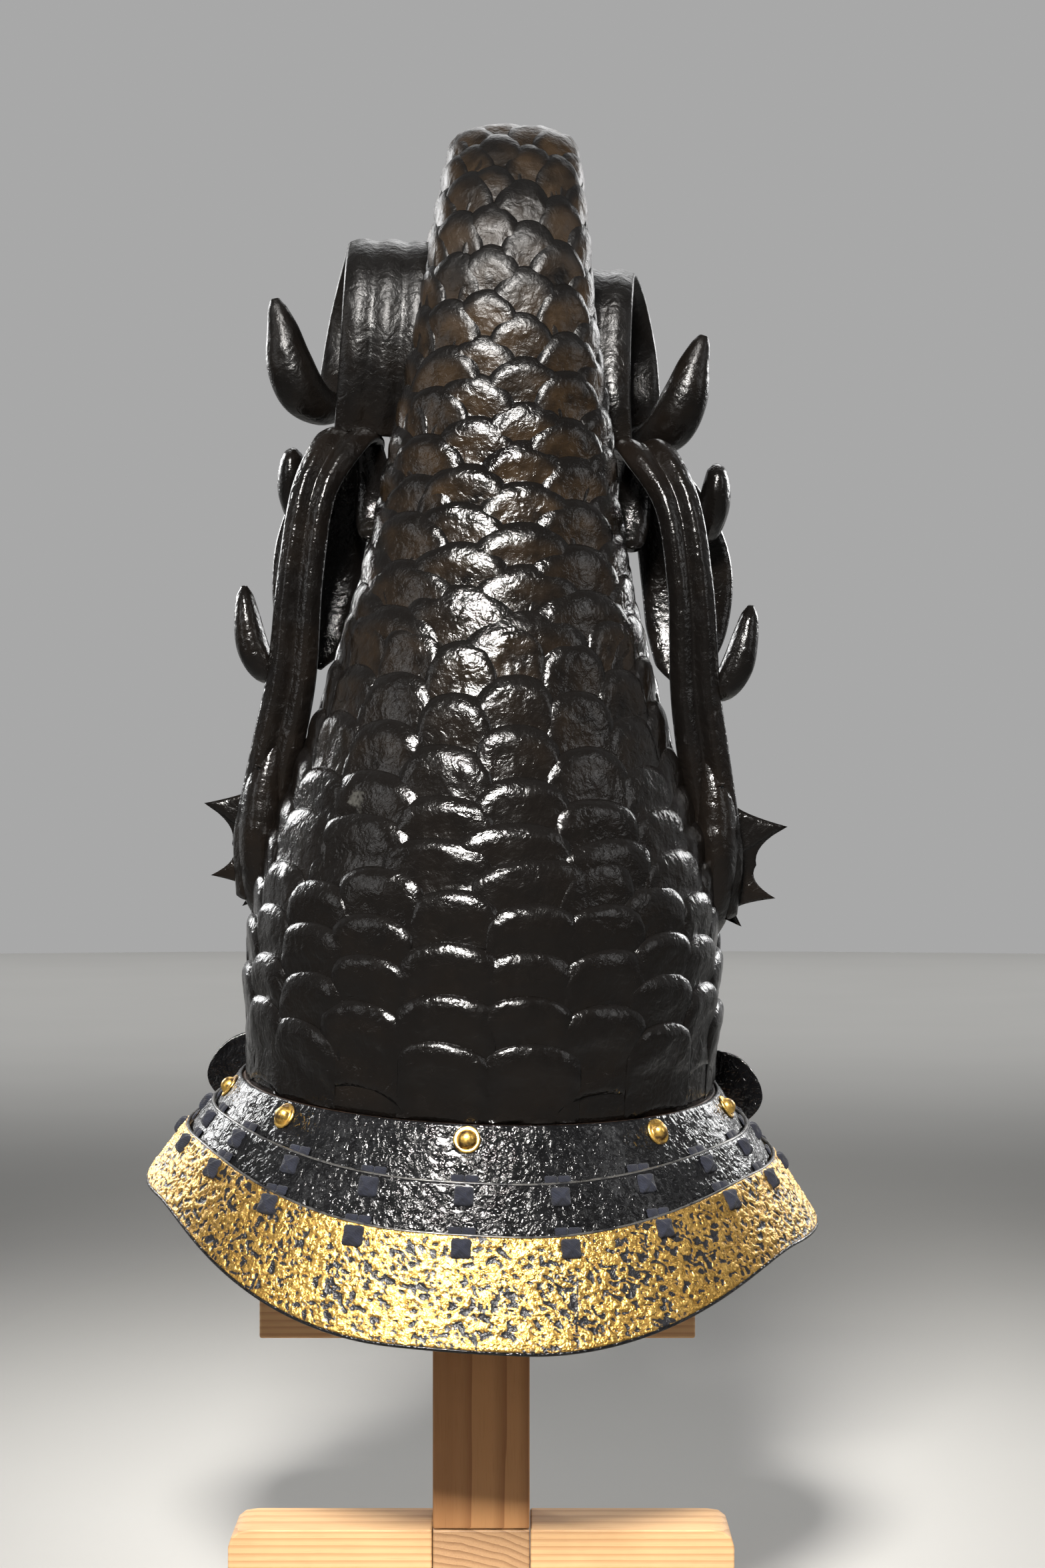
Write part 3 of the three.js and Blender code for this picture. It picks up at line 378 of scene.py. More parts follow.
def scales(number):
    """The scales of one zone, column by column, with the tint of each point."""
    zone = SCALE_ZONES[number]
    points, faces, tints, start = [], [], [], 0
    for column in range(zone["columns"]):
        if number == 0:
            phase = COLUMN_PHASES[column]
        elif number == 1:
            phase = (0.5 * (column % 2) + rng.normal(0, 0.1)) % 1
        else:
            phase = 0.5 * (column % 2)
        turn = (column + 0.5) / zone["columns"] + zone["turned"]
        place = zone["start"] + zone["pitch"] * (0.55 + phase)
        while place < zone["end"]:
            size = rng.uniform(0.93, 1.08)
            # The relief fades toward the tail's end.
            fade = min(1.0, (BODY_LENGTH - place) / 60)
            lowered = {**zone, "relief": zone["relief"] * (0.4 + 0.6 * fade)}
            scale_points, scale_faces, scale_tints = one_scale(lowered, place, turn, size)
            points.append(scale_points)
            faces += [tuple(i + start for i in f) for f in scale_faces]
            tints.append(scale_tints)
            start += len(scale_points)
            place += zone["pitch"] * (1 + rng.normal(0, 0.07))
    return np.concatenate(points), faces, np.concatenate(tints)


# Neck guard


def guard_point(angle, level, layer):
    """Points on a lame's middle surface, at angles from the rear and levels from the rim."""
    angle, level = np.broadcast_arrays(np.asarray(angle, dtype=float), np.asarray(level, dtype=float))
    half_width = RIM_WIDTH / 2 + LAME_STEP * layer - SIDE_FLARE * level + LAME_THICKNESS
    half_depth = RIM_DEPTH / 2 + LAME_STEP * layer - REAR_FLARE * level + LAME_THICKNESS
    return np.stack([half_width * np.sin(angle), -half_depth * np.cos(angle), level], axis=-1)


def depth_share(angle):
    """How deep the guard is at an angle, as a share of its depth at the rear."""
    to_side = smoothstep(np.abs(angle), FACET, 7.5 * FACET)
    return 1 - (1 - SIDE_SHARE) * to_side + GUARD_SLANT * np.sin(angle)


def guard_frame(angle, level, layer):
    """The frame on a lame's middle surface at the centre of a facet: down it, out of it and along it."""
    left = guard_point(angle - FACET / 2, level, layer)
    right = guard_point(angle + FACET / 2, level, layer)
    lower = sum(guard_point(angle + turn, level - 1, layer) for turn in (-FACET / 2, FACET / 2)) / 2
    origin = (left + right) / 2
    along = unit(right - left)
    down = lower - origin
    down = unit(down - along * down.dot(along))
    out = np.cross(down, along)
    return origin, down, out, along


def in_frame(place, points):
    """Points given as (down, out, along) in a frame, as points of the helmet."""
    origin, down, out, along = place
    points = np.asarray(points)
    return origin + points[:, :1] * down + points[:, 1:2] * out + points[:, 2:] * along


def wrinkle(point, scale, depth):
    """Hammered and wrinkled lacquer: rounded ridges that wander, between small pits."""
    p = Vector(point) * scale
    warp = noise.noise_vector(p * 0.7) * 0.8
    q = p + warp
    ridge = 1 - abs(noise.noise(q))
    return depth * (ridge**2.2 - 0.55 + 0.5 * noise.noise(q * 2.3 + Vector((7, 3, 1))))


def face_points(tops, bottoms, facings, down_count, thickness, scale, depth):
    """Closed sections of a plate, wrinkled on its outer face, and the relief of their points."""
    sections, reliefs = [], []
    for top, bottom, facing in zip(tops, bottoms, facings):
        half = thickness / 2
        section, relief = [top + facing * 0], [0.0]
        for share in np.linspace(0.012, 0.988, down_count):
            edge = min(share, 1 - share)
            lift = wrinkle(top + (bottom - top) * share, scale, depth) * min(1, edge * 14)
            section.append(top + (bottom - top) * share + facing * (half * 0.9 + lift))
            relief.append(lift / depth)
        section.append(bottom)
        for share in (0.97, 0.66, 0.33, 0.03):
            section.append(top + (bottom - top) * share - facing * half)
        sections.append(section)
        reliefs.append(relief + [0.0] * 5)
    return np.array(sections), np.append(np.array(reliefs).ravel(), (0, 0))


def lame_lines(layer, top_depth, bottom_depth, overlap, facets, count):
    """A lame's top and bottom lines, and which way it faces along them."""
    angles = np.linspace(-facets / 2 * FACET, facets / 2 * FACET, count)
    share = depth_share(angles)
    tops = guard_point(angles, -top_depth * share, layer)
    bottoms = guard_point(angles, -bottom_depth * share - overlap, layer)
    along = np.gradient(guard_point(angles, 0, layer), axis=0)
    facings = unit(np.cross(bottoms - tops, along))
    return tops, bottoms, facings


# The turned-back plate at each front end of the top lame: out and forward as shares of its reach, top and
# bottom as shares of its height, and how much of the lame's own slope is left in it.
TURNBACK_ROWS = [
    (0.1, 0.1, 0.04, 0.66, 1),
    (0.25, 0.2, 0.1, 0.8, 0.7),
    (0.45, 0.24, 0.16, 0.84, 0.4),
    (0.7, 0.18, 0.1, 0.78, 0.2),
    (0.88, 0.08, -0.06, 0.66, 0),
    (0.97, 0.02, -0.22, 0.52, 0),
    (1, -0.02, -0.34, 0.4, 0),
]


def turnback_lines(top, bottom, facing, side, count):
    """The lines of a turned-back plate, from the end of the top lame outward."""
    slope = (bottom - top) / (top[2] - bottom[2]) * (1, 1, 0)
    end_depth = (top[2] - bottom[2]) / TURNBACK_HEIGHT
    rows = spline([(0, 0, 0, end_depth, 1)] + TURNBACK_ROWS, count + 1, centripetal=False)[1:]
    tops, bottoms = [], []
    for out, forward, high, low, share in rows:
        place = top + np.array([side * out, forward, 0]) * TURNBACK_REACH
        for height, store in ((high * TURNBACK_HEIGHT, tops), (-low * TURNBACK_HEIGHT, bottoms)):
            point = place - slope * share * height
            store.append((point[0], point[1], height))
    tops, bottoms = np.array(tops), np.array(bottoms)
    # The facing turns from the lame's own to the plate's over the first rows.
    turn = smoothstep(np.arange(count), -1, 3)[:, None]
    facings = unit(facing * (1 - turn) + np.array([side * 0.3, -0.95, 0]) * turn)
    return tops, bottoms, facings


def top_lame():
    """The top lame with its turned-back plates."""
    tops, bottoms, facings = lame_lines(0, 0, TOP_DEPTH, LAME_OVERLAP, TOP_FACETS, 300)
    left = turnback_lines(tops[0], bottoms[0], facings[0], -1, 26)
    right = turnback_lines(tops[-1], bottoms[-1], facings[-1], 1, 26)
    lines = [np.concatenate([a[::-1], b, c]) for a, b, c in zip(left, (tops, bottoms, facings), right)]
    sections, relief = face_points(*lines, 26, LAME_THICKNESS, 0.2, 0.5)
    return (*tube(sections), relief)


def lower_lame(layer, top_depth, bottom_depth, overlap, columns, down_count, scale, depth):
    """The middle or the gold lame, wrinkled at that scale and depth."""
    lines = lame_lines(layer, top_depth, bottom_depth, overlap, LOWER_FACETS, columns)
    sections, relief = face_points(*lines, down_count, LAME_THICKNESS, scale, depth)
    return (*tube(sections), relief)


def bead_line(lines, share, radius):
    """A thin rounded bead along a plate, at that share of its depth."""
    tops, bottoms, facings = lines
    centre = tops + (bottoms - tops) * share
    along = unit(np.gradient(centre, axis=0))
    side = np.cross(along, facings)
    rings = [
        centre + (facings * math.cos(a) + side * math.sin(a)) * radius
        for a in np.arange(6) * math.pi / 3
    ]
    return tube(np.stack(rings, axis=1))


def pillow(size_u, size_v, height, groove, centre, sharp=3.0, count=13):
    """A soft square knot or patch: a pillow with four lobes. Its points are (down, out, along)."""
    axis = np.linspace(-1, 1, count)
    u, v = np.meshgrid(axis, axis, indexing="ij")
    body = np.clip(1 - np.abs(u) ** sharp, 0, 1) * np.clip(1 - np.abs(v) ** sharp, 0, 1)
    cross = np.exp(-((u - v) ** 2) * 14) + np.exp(-((u + v) ** 2) * 14)
    pinch = 1 - 0.07 * (1 - np.abs(u)) ** 2 * np.abs(v) ** 3 - 0.07 * (1 - np.abs(v)) ** 2 * np.abs(u) ** 3
    pinch -= 0.16 * (u * v) ** 4
    out = height * np.sqrt(body) * (1 - groove * (1 - np.clip(cross, 0, 1)) * 0.6)
    down = centre[0] + u * size_u / 2 * pinch
    along = centre[2] + v * size_v / 2 * pinch
    points = np.stack([down, centre[1] + out, along], axis=-1)
    under = points.reshape(-1, 3) * (1, 0, 1) + (0, centre[1] - 0.2, 0)
    faces = grid_faces(count, count, False)
    faces += grid_faces(count, count, False, start=count * count, flip=True)
    border = (
        [(0, i) for i in range(count - 1)]
        + [(i, count - 1) for i in range(count - 1)]
        + [(count - 1, i) for i in range(count - 1, 0, -1)]
        + [(i, 0) for i in range(count - 1, 0, -1)]
    )
    loop = [r * count + c for r, c in border]
    for i, a in enumerate(loop):
        b = loop[(i + 1) % len(loop)]
        faces.append((b, a, a + count * count, b + count * count))
    return np.concatenate([points.reshape(-1, 3), under]), faces


def laces(layer):
    """The laces of one lame: a knot below its top edge and a patch of two lobes on the lame above."""
    depth = TOP_DEPTH if layer == 1 else TOP_DEPTH + MIDDLE_DEPTH
    knot_out = LAME_THICKNESS / 2 + 0.1
    patch_out = -LAME_THICKNESS / 2 - 0.4
    parts = []
    for column in range(LACE_COLUMNS):
        angle = (column - (LACE_COLUMNS - 1) / 2) * 2 * FACET
        place = guard_frame(angle, -depth * depth_share(angle), layer)
        size = KNOT_SIZE * rng.uniform(0.94, 1.06)
        centre = (KNOT_DROP, knot_out, rng.normal(0, 0.25))
        pieces = [pillow(size, size, KNOT_HEIGHT, 0.6, centre, sharp=3.6, count=17)]
        for aside in (-PATCH_ASIDE, PATCH_ASIDE):
            centre = (PATCH_DROP, patch_out, aside)
            pieces.append(pillow(PATCH_LENGTH, PATCH_WIDTH, PATCH_HEIGHT, 0.2, centre, sharp=2.2, count=9))
        for points, faces in pieces:
            parts.append((in_frame(place, points), faces))
    return joined(parts)


# Radius and height of the rivet from its crown to the end of its shank.
RIVET_PROFILE = [
    (0.02, 5.6), (1.3, 5.45), (2.4, 4.95), (3.3, 4.1), (3.85, 3.1), (4.05, 2.3), (4.3, 1.95), (4.9, 2.05),
    (5.5, 2.1), (5.95, 1.75), (6.05, 1.35), (5.9, 1.05), (2.0, 1.0), (1.9, -3.5),
]


def rivets():
    """Five domed rivets with a raised collar."""
    count = 32
    turns = np.arange(count) * 2 * math.pi / count
    parts = []
    for facets in RIVET_FACETS:
        place = guard_frame(facets * FACET, -RIVET_DROP, 0)
        rings = [
            [(radius * math.cos(a), height, radius * math.sin(a)) for a in turns]
            for radius, height in RIVET_PROFILE
        ]
        points, faces = tube(rings)
        parts.append((in_frame(place, points), faces))
    return joined(parts)


def visor():
    """The brow plate, slightly crowned and narrower toward its ends."""
    count, across = 90, 20
    rings = []
    for share in np.linspace(-1, 1, count):
        narrowing = 1 - 0.75 * share * share
        point = guard_point(math.pi + share * 5 * FACET, -GAP - LAME_THICKNESS / 2, 0)
        start = point - unit(point * (1, 1, 0)) * VISOR_SETBACK
        fall = np.array([0, VISOR_REACH, -VISOR_DROP]) * narrowing
        ring = []
        for shares, face in ((np.linspace(0, 1, across), 1), (np.linspace(1, 0, across), -1)):
            for t in shares:
                crown = VISOR_CROWN * math.sin(math.pi * t) * narrowing
                half = LAME_THICKNESS / 2 * (0.6 if face > 0 and t > 0.98 else 1)
                ring.append(start + fall * t + VISOR_FACING * (face * half + crown))
        rings.append(ring)
    return tube(rings)


# Fronds, scrolls and fins


def rib_section(count, ribs, depth):
    """A flat bar's section with rounded ribs on its outer face: shares of half its width and thickness."""
    top = []
    for u in np.linspace(-1, 1, count):
        edge = math.sqrt(max(1 - abs(u) ** 5, 0))
        rib = 0.5 + 0.5 * math.cos((u * ribs + (0 if ribs % 2 else 1)) * math.pi)
        top.append((u, edge * (1 - depth * (1 - rib ** 0.7))))
    under = [(u, -math.sqrt(max(1 - abs(u) ** 4, 0))) for u in np.linspace(0.96, -0.96, 11)]
    return np.array(top + under)


ROUND = np.array([(math.cos(a), math.sin(a)) for a in np.arange(20) * math.pi / 10])


def sweep(places, widths, thicknesses, section, across):
    """Rings round places, their width along "across" and their outer face to the outside of the curl."""
    along = unit(np.gradient(places, axis=0))
    side = unit(across - along * (along @ across)[:, None])
    out = np.cross(side, along)
    return (
        places[:, None]
        + side[:, None] * (section[None, :, :1] * widths[:, None, None] / 2)
        + out[:, None] * (section[None, :, 1:] * thicknesses[:, None, None] / 2)
    )


def bar(places, sizes, count, section, across):
    """A closed bar through the places, whose widths and thicknesses change smoothly."""
    sizes = np.maximum(spline(sizes, count, centripetal=False), 0.4)
    return tube(sweep(spline(places, count), sizes[:, 0], sizes[:, 1], section, across))


X_AXIS, Y_AXIS = np.array([1.0, 0, 0]), np.array([0, 1.0, 0])

# Each row is out, forward, height, width, thickness and skew, in shares of the frond's sizes.
FROND_ROWS = [
    (1.03, -0.1, 0.27, 0.9, 1.3, 0),
    (1.02, -0.22, 0.36, 1.1, 1.4, 0),
    (0.99, -0.32, 0.44, 1, 1.1, 0),
    (0.95, -0.4, 0.51, 1, 1, 0),
    (0.9, -0.46, 0.61, 0.96, 0.95, 0),
    (0.865, -0.48, 0.77, 0.88, 0.9, 0.2),
    (0.8, -0.36, 0.9, 0.88, 0.85, 0.6),
    (0.68, -0.05, 0.972, 1.05, 0.7, 1),
    (0.64, 0.25, 0.975, 1.15, 0.62, 1),
    (0.7, 0.62, 0.935, 1.3, 0.58, 0.7),
    (0.79, 0.88, 0.87, 1.6, 0.55, 0.3),
    (0.85, 0.97, 0.79, 1.82, 0.55, 0),
    (0.86, 0.88, 0.7, 1.6, 0.55, 0),
    (0.84, 0.7, 0.64, 1, 0.5, 0),
    (0.83, 0.58, 0.62, 0.3, 0.3, 0),
]
LEAF_ROWS = [
    (0.62, 0.25, 0.978, 0.5, 0.5, 0),
    (0.59, 0.42, 0.91, 0.7, 0.7, 0),
    (0.59, 0.4, 0.865, 0.7, 0.7, 0),
    (0.59, 0.25, 0.83, 0.5, 0.6, 0),
    (0.6, 0.1, 0.825, 0.1, 0.1, 0),
]
LOW_BUD_ROWS = [
    (0.94, -0.36, 0.612, 0.3, 0.5, 0),
    (1.02, -0.34, 0.618, 0.64, 0.95, 0),
    (1.08, -0.32, 0.65, 0.78, 1.15, 0),
    (1.112, -0.3, 0.695, 0.7, 0.95, 0),
    (1.128, -0.28, 0.73, 0.46, 0.6, 0),
    (1.133, -0.28, 0.745, 0.16, 0.2, 0),
]
HIGH_BUD_ROWS = [
    (0.82, 0.9, 0.86, 0.5, 0.5, 0),
    (0.91, 0.66, 0.852, 0.74, 1, 0),
    (0.955, 0.5, 0.888, 1.0, 1.15, 0),
    (0.966, 0.42, 0.926, 0.98, 1.0, 0),
    (0.962, 0.38, 0.95, 0.66, 0.66, 0),
    (0.957, 0.37, 0.958, 0.2, 0.22, 0),
]
KNUCKLE_ROWS = [
    (1.0, -0.06, 0.22, 0.3, 0.3, 0),
    (1.0, -0.08, 0.27, 1.5, 1.5, 0),
    (1.02, -0.14, 0.37, 1.9, 1.75, 0),
    (1.0, -0.24, 0.46, 1.3, 1.4, 0),
    (0.95, -0.36, 0.53, 0.3, 0.3, 0),
]


def frond_bar(rows, side, count, section, across):
    """A bar of a frond, from a table of its rows."""
    rows = np.array(rows)
    outward = side * (rows[:, 0] * FROND_OUT - rows[:, 5] * FROND_SKEW * side)
    places = np.stack([outward, rows[:, 1] * FROND_FORWARD, rows[:, 2] * FROND_HEIGHT], axis=1)
    return bar(places, rows[:, 3:5] * (FROND_WIDTH, FROND_THICKNESS), count, section, across)


def spike(base, tip, radius):
    """A small thorn from base to tip."""
    along = unit(tip - base)
    helper = X_AXIS if abs(along[0]) < 0.8 else Y_AXIS
    side = unit(np.cross(along, helper))
    other = np.cross(along, side)
    rings = []
    for share, size in ((-0.2, 1), (0, 1), (0.35, 0.72), (0.7, 0.5), (0.9, 0.42), (1, 0.1)):
        centre = base + (tip - base) * share
        rings.append([centre + (side * x + other * y) * radius * size for x, y in ROUND[::2]])
    return tube(rings)


def frond(side):
    """A frond with its swelling, leaf, buds and thorns."""
    parts = [
        frond_bar(FROND_ROWS, side, 150, rib_section(49, 2, 0.5), X_AXIS),
        frond_bar(KNUCKLE_ROWS, side, 30, ROUND, Y_AXIS),
        frond_bar(LEAF_ROWS, side, 30, ROUND, X_AXIS),
        frond_bar(LOW_BUD_ROWS, side, 30, ROUND, Y_AXIS),
        frond_bar(HIGH_BUD_ROWS, side, 30, ROUND, Y_AXIS),
    ]
    for out, forward, height, length in THORNS:
        base = np.array([side * out * FROND_OUT, forward * FROND_FORWARD, height * FROND_HEIGHT])
        tip = base + np.array([side * 0.7, -0.5, 0.3]) * length
        parts.append(spike(base, tip, THORN_RADIUS))
    return joined(parts)


# The fin's spikes and the hollows' ends between them, as shares of its reach and height.
FIN_POINTS = [(0.95, 0.82), (0.46, 0.5), (0.8, 0.24), (0.14, 0.13), (0.26, 0)]


def fin(side):
    """A blade with hollow edges between its spikes, thinner toward its edge."""
    outline = [(-FIN_ROOT, FIN_HEIGHT * 0.1), (-FIN_ROOT, FIN_HEIGHT), (0, FIN_HEIGHT)]
    last = np.array((0.0, 1.0))
    for point in FIN_POINTS:
        point = np.array(point)
        control = (last + point) / 2 - (FIN_HOLLOW, 0)
        for t in np.linspace(0, 1, 9)[1:]:
            curve = last * (1 - t) ** 2 + control * 2 * t * (1 - t) + point * t**2
            outline.append(tuple(curve * (FIN_REACH, FIN_HEIGHT)))
        last = point
    outline = np.array(outline)
    root = np.array((-FIN_ROOT, FIN_HEIGHT * 0.45))
    rings = []
    for share in np.linspace(1, 0.02, 14):
        flat = root + (outline - root) * share
        thick = FIN_THICKNESS / 2 * (1 - 0.75 * share**3)
        rings.append([(side * (FROND_OUT + FIN_SEAT[side] + x), thick, FIN_LEVEL + z) for x, z in flat])
    rings = np.array(rings)
    back = rings[::-1] * (1, -1, 1)
    # The two faces meet at the outline.
    return tube(np.concatenate([rings[::-1], back[::-1]]))


# Each row is out, forward and height in radii of the roll, width and thickness as shares of the band's or
# the horn's, and how much of the scroll's own shift it takes.
SCROLL_ROWS = [
    (0.06, -0.86, -1.3, 1, 1, 0),
    (0.02, -1, -0.7, 1, 1, 0.4),
    (0, -1, 0, 1, 1, 1),
    (0, -0.7, 0.7, 1, 1, 1),
    (0.04, 0, 1, 0.98, 1, 1),
    (0.2, 0.7, 0.72, 0.94, 1, 1),
    (0.42, 1, 0.04, 0.86, 1.1, 1),
    (0.56, 0.84, -0.62, 0.76, 1.3, 1),
    (0.68, 0.42, -0.98, 0.6, 1.6, 1),
    (0.78, 0, -1.04, 0.4, 1.6, 1),
]
HORN_ROWS = [
    (0.6, 0.2, -1.0, 0.5, 0.5, 1),
    (0.85, -0.06, -1.02, 0.85, 0.8, 1),
    (1.08, -0.2, -0.86, 1, 1, 1),
    (1.25, -0.28, -0.5, 0.9, 0.95, 1),
    (1.34, -0.28, -0.12, 0.66, 0.68, 1),
    (1.425, -0.28, 0.17, 0.38, 0.38, 1),
    (1.452, -0.28, 0.27, 0.18, 0.18, 1),
]


def scroll_bar(rows, side, width, thickness, count, section, across):
    """A bar of a scroll, from a table of its rows."""
    rows = np.array(rows)
    shift = np.array(SCROLL_SHIFT[side])
    centre = np.array([SCROLL_OUT, SCROLL_RADIUS, FROND_HEIGHT + SCROLL_RADIUS + SCROLL_THICKNESS])
    places = rows[:, :3] * SCROLL_RADIUS + centre + shift * rows[:, 5:]
    places[:, 0] = (places[:, 0] + (1 - rows[:, 5]) * shift[0]) * side
    return bar(places, rows[:, 3:5] * (width, thickness), count, section, across)


def scroll(side):
    """A broad ribbed band that rolls over forward, and the horn at its end."""
    ribbed = rib_section(49, 3, 0.4)
    band = scroll_bar(SCROLL_ROWS, side, SCROLL_BAND, SCROLL_THICKNESS, 130, ribbed, X_AXIS)
    return joined([band, scroll_bar(HORN_ROWS, side, HORN_WIDTH, HORN_WIDTH, 40, ROUND, Y_AXIS)])


# Stand


def plank(name, low, high, corner=0.0, corner_side=0):
    """A planed board with eased edges. One top corner may be rounded off."""
    low, high = np.array(low, dtype=float), np.array(high, dtype=float)
    outline = [(low[0], low[2]), (high[0], low[2]), (high[0], high[2]), (low[0], high[2])]
    if corner:
        index = 2 if corner_side > 0 else 3
        x, z = outline[index]
        arc = [(x - corner_side * corner * inward, z - corner * down) for inward, down in CORNER_ARC]
        outline[index : index + 1] = arc if corner_side > 0 else arc[::-1]
    count = len(outline)
    points = [(x, low[1], z) for x, z in outline] + [(x, high[1], z) for x, z in outline]
    faces = [tuple(range(count)), tuple(range(2 * count - 1, count - 1, -1))]
    for i in range(count):
        j = (i + 1) % count
        faces.append((j, i, i + count, j + count))
    obj = new_object(name, points, faces, level_pose)
    bevel = obj.modifiers.new("eased", "BEVEL")
    bevel.width = EASED_EDGE * MM
    bevel.segments = 3
    bevel.limit_method = "ANGLE"
    bevel.angle_limit = math.radians(50)
    bevel.harden_normals = True
    return obj


# Materials


class Nodes:
    """A short way to write a material's nodes."""

    def __init__(self, name):
        self.material = bpy.data.materials.new(name)
        self.material.use_nodes = True
        self.tree = self.material.node_tree
        self.tree.nodes.clear()
        self.shader = self.add("ShaderNodeBsdfPrincipled")
        output = self.add("ShaderNodeOutputMaterial")
        self.link(self.shader.outputs[0], output.inputs["Surface"])
        coordinates = self.add("ShaderNodeTexCoord")
        self.place = coordinates.outputs["Object"]

    def add(self, kind, **settings):
        node = self.tree.nodes.new(kind)
        for key, value in settings.items():
            setattr(node, key, value)
        return node

    def link(self, source, target):
        self.tree.links.new(source, target)

    def set(self, node, name, value):
        """Links the value where it is another node's output, or else writes it. A tuple is a colour."""
        if isinstance(value, bpy.types.NodeSocket):
            self.link(value, node.inputs[name])
        else:
            node.inputs[name].default_value = (*value, 1) if isinstance(value, tuple) else value

    def noise(self, scale, detail=4.0, rough=0.55, distortion=0.0, place=None):
        node = self.add("ShaderNodeTexNoise")
        self.link(place or self.place, node.inputs["Vector"])
        names = ("Scale", "Detail", "Roughness", "Distortion")
        for name, value in zip(names, (scale, detail, rough, distortion)):
            self.set(node, name, value)
        return node.outputs["Fac"]

    def mapped(self, scale, location=(0, 0, 0)):
        """The place, scaled and moved."""
        node = self.add("ShaderNodeMapping")
        self.link(self.place, node.inputs["Vector"])
        node.inputs["Scale"].default_value = scale
        node.inputs["Location"].default_value = location
        return node.outputs["Vector"]

    def range(self, value, low, high, to_low=0.0, to_high=1.0):
        node = self.add("ShaderNodeMapRange")
        names = ("Value", "From Min", "From Max", "To Min", "To Max")
        for name, item in zip(names, (value, low, high, to_low, to_high)):
            self.set(node, name, item)
        return node.outputs["Result"]

    def math(self, operation, a, b=0.0):
        node = self.add("ShaderNodeMath", operation=operation)
        self.set(node, 0, a)
        self.set(node, 1, b)
        return node.outputs[0]

    def mix(self, fac, a, b):
        node = self.add("ShaderNodeMix", data_type="RGBA")
        for index, value in ((0, fac), (6, a), (7, b)):
            self.set(node, index, value)
        return node.outputs[2]

    def attribute(self, name):
        return self.add("ShaderNodeAttribute", attribute_name=name).outputs["Fac"]

    def axis(self, name):
        split = self.add("ShaderNodeSeparateXYZ")
        self.link(self.place, split.inputs[0])
        return split.outputs[name]

    def bump(self, *layers):
        """Bumps in turn: each layer is a height, its strength and its depth in millimetres."""
        normal = None
        for height, strength, depth in layers:
            node = self.add("ShaderNodeBump")
            self.link(height, node.inputs["Height"])
            node.inputs["Strength"].default_value = strength
            node.inputs["Distance"].default_value = depth * MM
            if normal is not None:
                self.link(normal, node.inputs["Normal"])
            normal = node.outputs["Normal"]
        self.link(normal, self.shader.inputs["Normal"])

    def finish(self, **sockets):
        """Sets the shader's sockets, such as base_color for Base Color."""
        for name, value in sockets.items():
            self.set(self.shader, name.replace("_", " ").title().replace("Ior", "IOR"), value)
        return self.material


DEEP_BLACK = (0.0035, 0.003, 0.0027)


def black_lacquer(name, scaled):
    """Deep black lacquer over a hammered ground, with a chipped patch. Scales are brown where it thins, and
    browner with height as a painted warm reflection.
    """
    m = Nodes(name)
    if scaled:
        # Painted reflection: the scale faces' brown, the lacquer's own where it thins, is made much stronger
        # with height to paint a warm reflection on the upper neck.
        high = m.range(m.axis("Z"), 0.4, 0.6, 0.04, 1)
        thin_brown_and_reflection = m.math("MULTIPLY", high, m.attribute("tint"))
        thin_brown_and_reflection = m.math("MULTIPLY", thin_brown_and_reflection, m.range(m.noise(60, 4), 0.3, 0.6))
        body = m.mix(thin_brown_and_reflection, DEEP_BLACK, (0.034, 0.02, 0.009))
    else:
        body = m.mix(m.range(m.noise(26, 4), 0.45, 0.7), DEEP_BLACK, (0.0065, 0.0048, 0.0036))
    near = m.add("ShaderNodeVectorMath", operation="DISTANCE")
    m.link(m.place, near.inputs[0])
    near.inputs[1].default_value = WORN_PATCH
    chipped = m.math("ADD", near.outputs["Value"], m.math("MULTIPLY", m.noise(120, 5, 0.65, 0.4), -0.016))
    worn = m.range(chipped, -0.0015, -0.0035)
    color = m.mix(worn, body, (0.034, 0.033, 0.029))
    rough = m.range(m.noise(120, 6, 0.65), 0.3, 0.75, 0.1, 0.3)
    rough = m.math("ADD", rough, m.math("MULTIPLY", worn, 0.3))
    # The lacquer is duller over the arch.
    rough = m.math("ADD", rough, m.range(m.axis("Z"), 0.55, 0.64, 0, 0.24))
    m.bump(
        (m.noise(75, 3, 0.5), 0.4, 2.6),
        (m.noise(210, 3, 0.55, 0.5), 0.42, 1.5),
        (m.noise(480, 4, 0.6, 0.4), 0.3, 0.7),
    )
    return m.finish(base_color=color, roughness=rough, ior=1.37, coat_weight=0.02, coat_roughness=0.1)


def wrinkled_lacquer():
    """Black lacquer over a wrinkled ground: rounded worm-like ridges with pits between them."""
    m = Nodes("wrinkled_lacquer")
    worms = m.noise(260, 2.5, 0.5, 1.2)
    color = m.mix(m.range(m.noise(60, 4), 0.45, 0.75), (0.003, 0.003, 0.0033), (0.0065, 0.0065, 0.0072))
    rough = m.range(m.noise(150, 5), 0.3, 0.7, 0.12, 0.28)
    m.bump((worms, 0.7, 2.0), (m.noise(700, 3), 0.14, 0.3))
    return m.finish(base_color=color, roughness=rough, ior=1.4, coat_weight=0.1, coat_roughness=0.08)


